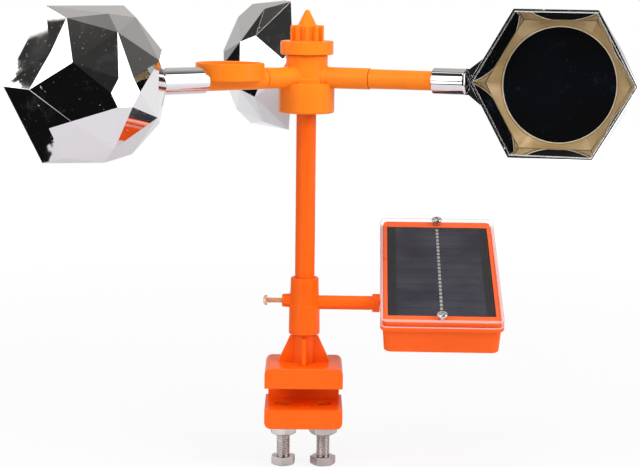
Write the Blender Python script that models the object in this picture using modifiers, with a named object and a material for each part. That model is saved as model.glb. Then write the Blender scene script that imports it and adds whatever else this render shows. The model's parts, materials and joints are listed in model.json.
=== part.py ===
"""Solar bird repeller: a wind-turned rotor of three mirrored cups on a pole, with a solar box and a clamp.

Metres, +Z up. The origin is on the pole's axis, on the flat underside of the clamp's upper jaw, which
rests on the rail or board that the clamp grips. The clamp's mouth opens towards -Y, and the solar box
stands on the +X side.
"""

import math

import bmesh
import bpy
from mathutils import Matrix, Vector

# Clearances that all the pieces share
PLAY = 0.0003
OVERRUN = 0.002
SUNK = 0.0008

# Clamp
CLAMP_WIDTH = 0.0422
CLAMP_DEPTH = 0.040
UPPER_JAW = 0.011
MOUTH_HEIGHT = 0.0118
LOWER_JAW = 0.0105
SPINE_DEPTH = 0.009
SPINE_INSET = 0.0015
JAW_CORNER = 0.0034
JAW_EDGE = 0.0005
BOLT_SPACING = 0.0218
BOLT_SETBACK = 0.018
HOLE_MOUTH_RADIUS = 0.0048
HOLE_MOUTH_DEPTH = 0.002

# Post, gussets and spigot, moulded on the clamp
POST_RADIUS = 0.0057
POST_HEIGHT = 0.0155
GUSSET_REACH = 0.0136
GUSSET_TOP_REACH = 0.0076
GUSSET_FOOT = 0.0016
GUSSET_THICKNESS = 0.0022
SPIGOT_HEIGHT = 0.012
STUD_LENGTH = 0.014
STUD_CHAMFER = 0.0008

# Clamp bolts, their lock nuts and washers
BOLT_RADIUS = 0.0038
BOLT_LENGTH = 0.0285
BOLT_FLATS = 0.0122
BOLT_HEAD = 0.0047
BOLT_TURN_DEGREES = {"left": 24.0, "right": 6.0}
BOLT_TIP_DROP = 0.0008
BOLT_CHAMFER = 0.0007
NUT_FLATS = 0.0134
NUT_HEIGHT = 0.0046
NUT_FACE_RADIUS = 0.0052
WASHER_RADIUS = 0.0079
WASHER_THICKNESS = 0.0012

# Pole
POLE_RADIUS = 0.00535
POLE_BORE = 0.00425
POLE_LENGTH = 0.1083

# Sliding tee on the pole, with its arm to the solar box
TEE_HEIGHT = 0.031
TEE_TOP_RADIUS = 0.0076
TEE_BOTTOM_RADIUS = 0.0085
TEE_BEAD_SHARE = 0.52
TEE_BEAD = 0.00025
TEE_ROUND = 0.0014
TEE_SWIVEL_DEGREES = -1.9
TEE_ARM_RISE = 0.0173
TEE_SCREW_RISE = 0.0181
TEE_BOSS_RADIUS = 0.00345
TEE_BOSS_REACH = 0.0122
TEE_ARM_RADIUS = 0.0038
TEE_ARM_REACH = 0.0369
TEE_FLANGE_RADIUS = 0.0050
TEE_FLANGE_THICKNESS = 0.0041

# Set screw in the tee
SET_SCREW_RADIUS = 0.0015
SET_SCREW_LENGTH = 0.0147
SET_SCREW_HEAD_RADIUS = 0.00275
SET_SCREW_HEAD = 0.0022

# Pivot screw between the tee's arm and the solar box
PIVOT_SCREW_RADIUS = 0.0015
PIVOT_SCREW_DEPTH = 0.013
PIVOT_HEAD_RADIUS = 0.0030
PIVOT_HEAD = 0.0020
PIVOT_WASHER_RADIUS = 0.0040
PIVOT_WASHER_THICKNESS = 0.0008

# Solar box: its heights are counted down from the lid's top
BOX_TILT_DEGREES = 18.8
BOX_CORNER = 0.004
PIVOT_FORWARD = 0.018
PIVOT_DROP = 0.0132
PANEL_WIDTH = 0.0565
PANEL_LENGTH = 0.1040
PANEL_THICKNESS = 0.0022
PANEL_DROP = 0.0017
PANEL_SIDE_MARGIN = 0.00425
PANEL_END_MARGIN = 0.0090
LID_HEIGHT = 0.0042
LID_PLATE = 0.0012
LID_WALL = 0.0016
LID_PAD_RADIUS = 0.0036
LID_PAD_HEIGHT = 0.0005
TRAY_SIDE_STEP = 0.00125
TRAY_END_STEP = 0.0013
TRAY_RIM = 0.0020
TRAY_DEPTH = 0.0133
TRAY_DRAFT = 0.0009
TRAY_WALL = 0.002
PIVOT_PAD = 0.0010
PIVOT_PAD_RADIUS = 0.0052
FRAME_PLATE = 0.0026
FRAME_PLUG = 0.0020
WIRE_HOLE_RADIUS = 0.0022
FRAME_SIDE_SLACK = 0.0005

# Lid screws, in the two ends of the box
LID_SCREW_INSET = 0.0050
LID_SCREW_RADIUS = 0.00145
LID_SCREW_LENGTH = 0.0150
LID_SCREW_HEAD_RADIUS = 0.0027
LID_SCREW_HEAD = 0.0018
SCREW_CROWN_SHARES = (0.55, 0.9)
SCREW_BOSS_RADIUS = 0.0026

# Electrical pieces inside the tray
BATTERY_SIZE = (0.030, 0.040, 0.0052)
BATTERY_ROUND = 0.0018
BATTERY_END_ROOM = 0.0077
BOARD_THICKNESS = 0.0014
BOARD_SIDE_ROOM = 0.00725
BOARD_END_ROOM = 0.0061
BOARD_POST_RADIUS = 0.0018
BOARD_POST_HEIGHT = 0.0030
BOARD_POST_INSET = 0.0035
CHIP_SIZE = (0.0102, 0.0102, 0.0018)
SOUNDER_RADIUS = 0.0068
SOUNDER_HEIGHT = 0.0060
SOUNDER_END_ROOM = 0.0059
SOUND_HOLE_RADIUS = 0.0009
SOUND_HOLE_RING = 0.0038
SWITCH_SIZE = (0.0086, 0.0044, 0.0040)
SWITCH_SIDE_ROOM = 0.00595
SWITCH_SLOT = (0.0062, 0.0026)
SWITCH_KNOB = (0.0026, 0.0020)
SWITCH_KNOB_REACH = 0.0014
SWITCH_KNOB_ROOT = 0.0012
SWITCH_REST = 0.0011

# Spindle that stands in the pole and carries the rotor
SPINDLE_SHANK_RADIUS = 0.00395
SPINDLE_SHANK_LENGTH = 0.036
SPINDLE_FLANGE_RADIUS = 0.0052
SPINDLE_FLANGE = 0.0015
SPINDLE_SEAT_RADIUS = 0.0037
SPINDLE_NECK_RADIUS = 0.0030
SPINDLE_TIP_RADIUS = 0.0025
SPINDLE_TIP_LENGTH = 0.0064
SPINDLE_CHAMFER = 0.0005
TOP_WASHER_RADIUS = 0.0049
TOP_WASHER_THICKNESS = 0.0008
TOP_NUT_FLATS = 0.0080
TOP_NUT_HEIGHT = 0.0040

# Ball bearing
BEARING_BORE = 0.0040
BEARING_RADIUS = 0.0110
BEARING_HEIGHT = 0.0070
INNER_RACE_RADIUS = 0.0063
OUTER_RACE_BORE = 0.0090
BALL_RADIUS = 0.00195
BALL_CIRCLE = 0.00765
BALL_COUNT = 7
CAGE_WIDTH = 0.0012
CAGE_HEIGHT = 0.0028

# Rotor hub
COLLAR_RADIUS = 0.0150
COLLAR_HEIGHT = 0.0161
COLLAR_ROUND = 0.0015
COLLAR_TOP_ROUND = 0.0006
HUB_RADIUS = 0.0112
HUB_HEIGHT = 0.0147
HUB_LIP = 0.0006
HUB_LIP_HEIGHT = 0.0023
HUB_NECK_RADIUS = 0.0075
HUB_NECK_HEIGHT = 0.0056
HUB_SHOULDER_BORE = 0.0095
HUB_SHOULDER_HEIGHT = 0.0011
ARM_DROP = 0.0117
STUB_RADIUS = 0.00565
STUB_END = 0.0357
STUB_END_AT_DISH = 0.0285
STUB_BORE_DEPTH = 0.014

# Bush at the hub's top
BUSH_RADIUS = 0.0050
BUSH_WALL = 0.0017
BUSH_HEIGHT = 0.0080
BUSH_FLANGE_RADIUS = 0.0062
BUSH_FLANGE = 0.0009

# Cap nut on the hub's neck
CAP_RADIUS = 0.0142
CAP_FLANGE = 0.0074
CAP_ROUND = 0.0010
KNOB_CORE_RADIUS = 0.0070
KNOB_RIB_RADIUS = 0.0092
KNOB_HEIGHT = 0.0084
KNOB_RIB_COUNT = 10
KNOB_RIB_WIDTH = 0.0024
KNOB_RIB_TOP_DROP = 0.0006
CONE_RADIUS = 0.0048
CONE_HEIGHT = 0.0081
CONE_TIP_RADIUS = 0.0009
CAP_HOLLOW_RADIUS = 0.0054
CAP_HOLLOW_ROOM = 0.0012

# Arms
ARM_ANGLE_DEGREES = {"right": -20.3, "back": 95.5, "left": 217.8}
ARM_ROOT_RADIUS = 0.0052
ARM_TIP_RADIUS = 0.00505
ARM_PLUG_RADIUS = 0.0039
ARM_SHOULDER = 0.0707
ARM_NOSE_RADIUS = 0.0046
ARM_NOSE_LENGTH = 0.0150
ARM_CHAMFER = 0.0006

# Round dish on the left arm
DISH_CENTRE = 0.0504
DISH_RADIUS = 0.0180
DISH_WALL = 0.0018
DISH_FLOOR = 0.0015
DISH_BELOW = 0.0003
DISH_ABOVE = 0.0088
DISH_EDGE = 0.0005

# Faceted cups: the rim is a hexagon with a corner on the arm's line
CUP_CORNER_REACH = {"right": 0.0903, "back": 0.0957, "left": 0.0937}
CUP_TWIST_DEGREES = {"right": -3.6, "back": 0.5, "left": -3.2}
CUP_RADIUS = 0.0443
CUP_FORWARD = 0.0012
CUP_WALL = 0.0013
CUP_SIDES = 6
CUP_CORE_SHARE = 0.985
CUP_RING_SHARES = {
    "rim": (1.0, 0.0, 0.0),
    "shoulder": (0.880, 0.350, 0.0),
    "mid": (0.816, 0.485, 0.5),
    "brow": (0.633, 0.680, 0.5),
    "crown": (0.184, 0.875, 0.0),
}
NECK_RADIUS = 0.00685
NECK_WALL = 0.00195
NECK_EDGE = 0.0004
NECK_INTO_CUP = 0.0060
NECK_WEB_LENGTH = 0.0034
NECK_WEB_SHARE = 0.20
NECK_SLEEVE_LAP = 0.0010

# Insert and mirror in each cup
INSERT_DEPTH = 0.0108
INSERT_WALL = 0.0012
INSERT_FUNNEL = 0.0055
MIRROR_MARGIN = 0.00856
MIRROR_THICKNESS = 0.0016
MIRROR_EDGE = 0.0003
MIRROR_STEPS = 36
SEAT_EDGE = 0.0008

# Fineness of round pieces
FINE_STEPS = 24
ROUND_STEPS = 20
SMALL_STEPS = 12
SOUND_HOLE_STEPS = 6
SMOOTH_DEGREES = 35.0
WELD = 0.00001

# Heights and distances that follow from the sizes above
JAW_TOP = UPPER_JAW
LOWER_JAW_TOP = -MOUTH_HEIGHT
LOWER_JAW_BOTTOM = LOWER_JAW_TOP - LOWER_JAW
POST_TOP = JAW_TOP + POST_HEIGHT
POLE_BOTTOM = POST_TOP + SPIGOT_HEIGHT + PLAY
POLE_TOP = POLE_BOTTOM + POLE_LENGTH
TEE_BOTTOM = POST_TOP + PLAY
TEE_AXIS_HEIGHT = TEE_BOTTOM + TEE_ARM_RISE
TEE_FLANGE_FACE = TEE_ARM_REACH + TEE_FLANGE_THICKNESS
TRAY_SIDE = TEE_FLANGE_FACE + PLAY
LID_WIDTH = PANEL_WIDTH + 2 * PANEL_SIDE_MARGIN
LID_LENGTH = PANEL_LENGTH + 2 * PANEL_END_MARGIN
TRAY_WIDTH = LID_WIDTH - 2 * TRAY_SIDE_STEP
TRAY_LENGTH = LID_LENGTH - 2 * TRAY_END_STEP
TRAY_INSIDE_HALF = TRAY_LENGTH / 2 - TRAY_WALL
BATTERY_BACK = TRAY_INSIDE_HALF - BATTERY_END_ROOM - BATTERY_SIZE[1] / 2
SOUNDER_FORWARD = TRAY_INSIDE_HALF - SOUNDER_END_ROOM - SOUNDER_RADIUS
BOARD_BACK_EDGE = BATTERY_BACK - BATTERY_SIZE[1] / 2 - BOARD_END_ROOM
BOARD_FRONT_EDGE = -SOUNDER_FORWARD + SOUNDER_RADIUS + BOARD_END_ROOM
BOARD_FORWARD = -(BOARD_BACK_EDGE + BOARD_FRONT_EDGE) / 2
BOARD_WIDTH = TRAY_WIDTH - 2 * TRAY_WALL - 2 * BOARD_SIDE_ROOM
BOARD_LENGTH = BOARD_BACK_EDGE - BOARD_FRONT_EDGE
SWITCH_SIDE = TRAY_WIDTH / 2 - TRAY_WALL - SWITCH_SIDE_ROOM - SWITCH_SIZE[0] / 2
TEE_SCREW_HEIGHT = TEE_BOTTOM + TEE_SCREW_RISE
BOX_CENTRE_X = TRAY_WIDTH / 2 + PIVOT_PAD
FLANGE_BOTTOM = POLE_TOP + PLAY
BEARING_BOTTOM = FLANGE_BOTTOM + SPINDLE_FLANGE + PLAY
BEARING_TOP = BEARING_BOTTOM + BEARING_HEIGHT
COLLAR_BOTTOM = POLE_TOP + PLAY
COLLAR_TOP = COLLAR_BOTTOM + COLLAR_HEIGHT
HUB_TOP = COLLAR_TOP + HUB_HEIGHT
ARM_HEIGHT = HUB_TOP - ARM_DROP
NECK_TOP = HUB_TOP + HUB_NECK_HEIGHT
BUSH_TOP = NECK_TOP + PLAY + BUSH_FLANGE
SPINDLE_SHOULDER = BUSH_TOP
SPINDLE_TOP = SPINDLE_SHOULDER + SPINDLE_TIP_LENGTH
TOP_WASHER_BOTTOM = BUSH_TOP + PLAY
TOP_NUT_BOTTOM = TOP_WASHER_BOTTOM + TOP_WASHER_THICKNESS + PLAY
CAP_BOTTOM = HUB_TOP + PLAY
CAP_FLANGE_TOP = CAP_BOTTOM + CAP_FLANGE
KNOB_TOP = CAP_FLANGE_TOP + KNOB_HEIGHT
INSERT_BACK = INSERT_DEPTH + INSERT_FUNNEL
CUP_DISTANCE = {name: reach + CUP_RADIUS for name, reach in CUP_CORNER_REACH.items()}
MIRROR_RADIUS = CUP_RADIUS * math.cos(math.pi / CUP_SIDES) - MIRROR_MARGIN

# Colours, roughness and metallic share of each material
FINISHES = {
    "orange_plastic": ((1.0, 0.17, 0.012), 0.32, 0.0),
    "mirror_chrome": ((0.86, 0.87, 0.88), 0.05, 1.0),
    "tan_plastic": ((0.52, 0.37, 0.20), 0.42, 0.0),
    "dark_mirror": ((0.012, 0.014, 0.018), 0.06, 0.4),
    "zinc_steel": ((0.55, 0.55, 0.54), 0.34, 1.0),
    "bearing_steel": ((0.62, 0.62, 0.63), 0.18, 1.0),
    "screw_chrome": ((0.80, 0.80, 0.80), 0.15, 1.0),
    "coppery_steel": ((0.60, 0.33, 0.18), 0.35, 1.0),
    "bronze": ((0.45, 0.28, 0.10), 0.35, 1.0),
    "clear_plastic": ((0.95, 0.96, 0.97), 0.05, 0.0),
    "solar_cells": ((0.010, 0.012, 0.028), 0.15, 0.0),
    "battery_foil": ((0.55, 0.56, 0.58), 0.40, 0.6),
    "board_green": ((0.01, 0.10, 0.04), 0.45, 0.0),
    "black_plastic": ((0.02, 0.02, 0.02), 0.45, 0.0),
}


def new_collection(name):
    collection = bpy.data.collections.new(name)
    bpy.context.scene.collection.children.link(collection)
    return collection


def clear_scene():
    for obj in list(bpy.data.objects):
        bpy.data.objects.remove(obj, do_unlink=True)


def make_material(name):
    colour, roughness, metallic = FINISHES[name]
    material = bpy.data.materials.new(name)
    material.use_nodes = True
    shader = material.node_tree.nodes["Principled BSDF"]
    shader.inputs["Base Color"].default_value = (*colour, 1.0)
    shader.inputs["Roughness"].default_value = roughness
    shader.inputs["Metallic"].default_value = metallic
    material.diffuse_color = (*colour, 1.0)
    return material


clear_scene()
PARTS = new_collection("solar_bird_repeller")
CUTTERS = new_collection("cutters_and_joined_shapes")


def make_object(name, mesh, place=None, parent=None):
    """A part: an object with this mesh, in the parts' collection."""
    obj = bpy.data.objects.new(name, mesh)
    PARTS.objects.link(obj)
    obj.parent = parent
    if place is not None:
        obj.matrix_local = place
    return obj


def make_empty(name, place, parent=None):
    """A joint's axis or a frame that pieces are placed in."""
    empty = bpy.data.objects.new(name, None)
    empty.empty_display_size = COLLAR_RADIUS
    PARTS.objects.link(empty)
    empty.parent = parent
    empty.matrix_local = place
    return empty


def at(x=0.0, y=0.0, z=0.0):
    return Matrix.Translation((x, y, z))


def finish(obj, material_name, smooth=True):
    """Gives a part a material of its own, and shades its round faces smooth."""
    material = make_material(material_name)
    material.name = f"{obj.name}_{material_name}"
    obj.data.materials.clear()
    obj.data.materials.append(material)
    if smooth and obj.type == "MESH":
        obj.data.shade_smooth()
        obj.data.set_sharp_from_angle(angle=math.radians(SMOOTH_DEGREES))
    return obj


def combine(target, tool, operation):
    """Cuts the tool from the target or joins it on, and moves the tool among the cutters."""
    modifier = target.modifiers.new(f"{operation.lower()}_{tool.name}", "BOOLEAN")
    modifier.operation = operation
    modifier.solver = "EXACT"
    modifier.object = tool
    if tool.name in PARTS.objects:
        PARTS.objects.unlink(tool)
        CUTTERS.objects.link(tool)
    tool.hide_render = True
    tool.display_type = "WIRE"


def cut(target, *tools):
    for tool in tools:
        combine(target, tool, "DIFFERENCE")


def join(target, *tools):
    for tool in tools:
        combine(target, tool, "UNION")


def mesh_from(name, build):
    """A mesh made by build(bm) in a new bmesh, with its normals facing out."""
    bm = bmesh.new()
    build(bm)
    bmesh.ops.recalc_face_normals(bm, faces=bm.faces[:])
    mesh = bpy.data.meshes.new(name)
    bm.to_mesh(mesh)
    bm.free()
    return mesh


def turned(name, profile, place=None, parent=None, steps=ROUND_STEPS, closed=False):
    """A turned shape about its own Z. The profile of (radius, height) runs down its outer side."""
    mesh = bpy.data.meshes.new(name)
    points = [(radius, 0.0, height) for radius, height in profile]
    edges = [(i, i + 1) for i in range(len(points) - 1)]
    if closed:
        edges.append((len(points) - 1, 0))
    mesh.from_pydata(points, edges, [])
    obj = make_object(name, mesh, place, parent)
    screw = obj.modifiers.new("turn", "SCREW")
    screw.axis = "Z"
    screw.steps = steps
    screw.render_steps = steps
    screw.use_merge_vertices = True
    screw.merge_threshold = WELD
    screw.use_smooth_shade = True
    return obj


def disc(name, radius, bottom, top, place=None, parent=None, steps=SMALL_STEPS, edge=0.0):
    """A plain or chamfered round bar between two heights on its own Z."""
    if edge:
        profile = [
            (0.0, top),
            (radius - edge, top),
            (radius, top - edge),
            (radius, bottom + edge),
            (radius - edge, bottom),
            (0.0, bottom),
        ]
        return turned(name, profile, place, parent, steps)

    def build(bm):
        bmesh.ops.create_cone(
            bm,
            cap_ends=True,
            segments=steps,
            radius1=radius,
            radius2=radius,
            depth=top - bottom,
            matrix=at(z=(top + bottom) / 2),
        )

    return make_object(name, mesh_from(name, build), place, parent)


def ring(name, inner, outer, bottom, top, place=None, parent=None, steps=ROUND_STEPS):
    """A plain ring between two heights on its own Z."""
    profile = [(inner, top), (outer, top), (outer, bottom), (inner, bottom)]
    return turned(name, profile, place, parent, steps, closed=True)


def arc(centre_radius, centre_height, radius, start, stop, count):
    """Points of an arc in a turned profile, with its angles in degrees from the outward direction."""
    points = []
    for step in range(count + 1):
        angle = math.radians(start + (stop - start) * step / count)
        points.append(
            (
                centre_radius + radius * math.cos(angle),
                centre_height + radius * math.sin(angle),
            )
        )
    return points


def hexagon_bar(name, flats, bottom, top, place=None, parent=None, turn=0.0):
    """A six-sided bar about its own Z, as wide across its flats as told."""

    def build(bm):
        corner = flats / math.sqrt(3)
        bmesh.ops.create_cone(
            bm,
            cap_ends=True,
            segments=6,
            radius1=corner,
            radius2=corner,
            depth=top - bottom,
            matrix=at(z=(top + bottom) / 2) @ Matrix.Rotation(turn, 4, "Z"),
        )

    return make_object(name, mesh_from(name, build), place, parent)


def slab(
    name, size, centre, place=None, parent=None, corner=0.0, along="Z", segments=4, edge=0.0, draft=0.0
):
    """A box. Edges along one axis are rounded by corner and the rest by edge; draft narrows its bottom."""

    def build(bm):
        bmesh.ops.create_cube(bm, size=1.0, matrix=at(*centre) @ Matrix.Diagonal((*size, 1.0)))
        axis = "XYZ".index(along)
        if corner:
            upright = [
                e for e in bm.edges if abs((e.verts[0].co - e.verts[1].co)[axis]) > size[axis] / 2
            ]
            bmesh.ops.bevel(
                bm, geom=upright, offset=corner, segments=segments, profile=0.5, affect="EDGES"
            )
        if edge:
            flat = [f for f in bm.faces if abs(f.normal[axis]) > math.cos(math.radians(1))]
            rim = {e for f in flat for e in f.edges}
            bmesh.ops.bevel(bm, geom=list(rim), offset=edge, segments=1, affect="EDGES")
        if draft:
            for vert in bm.verts:
                if vert.co.z < centre[2]:
                    vert.co.x = centre[0] + (vert.co.x - centre[0]) * (1 - 2 * draft / size[0])
                    vert.co.y = centre[1] + (vert.co.y - centre[1]) * (1 - 2 * draft / size[1])

    return make_object(name, mesh_from(name, build), place, parent)


def solid_from_curve(name, outline, thickness, place=None, parent=None):
    """A flat plate: a filled 2D curve in its own XY plane, extruded both ways along Z."""
    curve = bpy.data.curves.new(name, "CURVE")
    curve.dimensions = "2D"
    curve.fill_mode = "BOTH"
    curve.extrude = thickness / 2
    spline = curve.splines.new("POLY")
    spline.points.add(len(outline) - 1)
    for point, (x, y) in zip(spline.points, outline):
        point.co = (x, y, 0.0, 1.0)
    spline.use_cyclic_u = True
    guide = make_object(f"{name}_curve", curve, place, parent)
    bpy.context.view_layer.update()
    graph = bpy.context.evaluated_depsgraph_get()
    mesh = bpy.data.meshes.new_from_object(guide.evaluated_get(graph))
    bm = bmesh.new()
    bm.from_mesh(mesh)
    bmesh.ops.remove_doubles(bm, verts=bm.verts[:], dist=WELD)
    bmesh.ops.recalc_face_normals(bm, faces=bm.faces[:])
    bm.to_mesh(mesh)
    bm.free()
    obj = make_object(name, mesh, place, parent)
    bpy.data.objects.remove(guide, do_unlink=True)
    return obj


ALONG_X = Matrix.Rotation(math.radians(90), 4, "Y")
ALONG_MINUS_X = Matrix.Rotation(math.radians(-90), 4, "Y")
UPRIGHT_XZ = Matrix.Rotation(math.radians(90), 4, "X")


# Clamp and pole
def build_clamp():
    height = UPPER_JAW + MOUTH_HEIGHT + LOWER_JAW
    middle = (JAW_TOP + LOWER_JAW_BOTTOM) / 2
    body = slab(
        "clamp_body",
        (CLAMP_WIDTH, CLAMP_DEPTH, height),
        (0.0, 0.0, middle),
        corner=JAW_CORNER,
        along="Y",
        segments=4,
        edge=JAW_EDGE,
    )
    mouth_depth = CLAMP_DEPTH - SPINE_DEPTH
    mouth = slab(
        "clamp_mouth",
        (CLAMP_WIDTH + 2 * OVERRUN, mouth_depth + OVERRUN, MOUTH_HEIGHT),
        (0.0, -CLAMP_DEPTH / 2 + mouth_depth / 2 - OVERRUN / 2, LOWER_JAW_TOP / 2),
    )
    cut(body, mouth)
    for side in (-1, 1):
        recess = slab(
            f"spine_recess_{side}",
            (SPINE_INSET + OVERRUN, SPINE_DEPTH + 2 * OVERRUN, MOUTH_HEIGHT),
            (
                side * (CLAMP_WIDTH / 2 - SPINE_INSET + (SPINE_INSET + OVERRUN) / 2),
                CLAMP_DEPTH / 2 - SPINE_DEPTH / 2,
                LOWER_JAW_TOP / 2,
            ),
        )
        cut(body, recess)
        hole_place = at(side * BOLT_SPACING / 2, -CLAMP_DEPTH / 2 + BOLT_SETBACK)
        hole = disc(
            f"bolt_hole_{side}",
            BOLT_RADIUS + PLAY,
            LOWER_JAW_BOTTOM - OVERRUN,
            LOWER_JAW_TOP + OVERRUN,
            hole_place,
            steps=ROUND_STEPS,
        )
        hole_mouth = disc(
            f"bolt_hole_mouth_{side}",
            HOLE_MOUTH_RADIUS,
            LOWER_JAW_TOP - HOLE_MOUTH_DEPTH,
            LOWER_JAW_TOP + OVERRUN,
            hole_place,
            steps=ROUND_STEPS,
        )
        cut(body, hole, hole_mouth)

    quarter = Matrix.Rotation(math.radians(90), 4, "Z")
    gussets = []
    for name, turn, sunk in (("side", Matrix(), SUNK), ("front", quarter, 2 * SUNK)):
        outline = [
            (-GUSSET_REACH, JAW_TOP - sunk),
            (GUSSET_REACH, JAW_TOP - sunk),
            (GUSSET_REACH, JAW_TOP + GUSSET_FOOT),
            (GUSSET_TOP_REACH, POST_TOP - sunk),
            (-GUSSET_TOP_REACH, POST_TOP - sunk),
            (-GUSSET_REACH, JAW_TOP + GUSSET_FOOT),
        ]
        place = turn @ UPRIGHT_XZ
        gussets.append(solid_from_curve(f"{name}_gussets", outline, GUSSET_THICKNESS, place))
    spigot_top = POST_TOP + SPIGOT_HEIGHT
    stud_radius = POLE_BORE - PLAY
    post = turned(
        "post_and_spigot",
        [
            (0.0, spigot_top + STUD_LENGTH),
            (stud_radius - STUD_CHAMFER, spigot_top + STUD_LENGTH),
            (stud_radius, spigot_top + STUD_LENGTH - STUD_CHAMFER),
            (stud_radius, spigot_top),
            (POLE_RADIUS, spigot_top),
            (POLE_RADIUS, POST_TOP),
            (POST_RADIUS, POST_TOP),
            (POST_RADIUS, JAW_TOP - 3 * SUNK),
            (0.0, JAW_TOP - 3 * SUNK),
        ],
    )
    join(body, *gussets, post)
    finish(body, "orange_plastic")


def build_bolts():
    for name, side in (("left", -1), ("right", 1)):
        place = at(side * BOLT_SPACING / 2, -CLAMP_DEPTH / 2 + BOLT_SETBACK)
        tip = LOWER_JAW_TOP - BOLT_TIP_DROP
        under_head = tip - BOLT_LENGTH
        bolt = turned(
            f"clamp_bolt_{name}",
            [
                (0.0, tip),
                (BOLT_RADIUS - BOLT_CHAMFER, tip),
                (BOLT_RADIUS, tip - BOLT_CHAMFER),
                (BOLT_RADIUS, under_head - SUNK),
                (0.0, under_head - SUNK),
            ],
            place,
            steps=ROUND_STEPS,
        )
        angle = math.radians(BOLT_TURN_DEGREES[name])
        head = hexagon_bar(
            f"bolt_head_{name}", BOLT_FLATS, under_head - BOLT_HEAD, under_head, place, turn=angle
        )
        join(bolt, head)
        finish(bolt, "zinc_steel")
        washer_top = LOWER_JAW_BOTTOM - PLAY
        washer_bottom = washer_top - WASHER_THICKNESS
        washer = ring(
            f"washer_{name}", BOLT_RADIUS + PLAY, WASHER_RADIUS, washer_bottom, washer_top, place
        )
        finish(washer, "zinc_steel")
        nut_top = washer_bottom - PLAY
        nut = hexagon_bar(
            f"lock_nut_{name}", NUT_FLATS, nut_top - NUT_HEIGHT, nut_top, place, turn=-angle
        )
        bore = disc(
            f"nut_bore_{name}",
            BOLT_RADIUS + PLAY,
            nut_top - NUT_HEIGHT - OVERRUN,
            nut_top + OVERRUN,
            place,
            steps=ROUND_STEPS,
        )
        corner = NUT_FLATS / math.sqrt(3)
        slope = corner - NUT_FACE_RADIUS
        blank = turned(
            f"nut_blank_{name}",
            [
                (0.0, nut_top + OVERRUN),
                (corner + OVERRUN, nut_top + OVERRUN),
                (corner + OVERRUN, nut_top - NUT_HEIGHT + slope + OVERRUN),
                (NUT_FACE_RADIUS, nut_top - NUT_HEIGHT),
                (0.0, nut_top - NUT_HEIGHT),
            ],
            place,
            steps=FINE_STEPS,
        )
        combine(nut, blank, "INTERSECT")
        cut(nut, bore)
        finish(nut, "zinc_steel")


def build_pole():
    pole = ring("pole", POLE_BORE, POLE_RADIUS, POLE_BOTTOM, POLE_TOP, steps=ROUND_STEPS)
    finish(pole, "orange_plastic")


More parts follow.
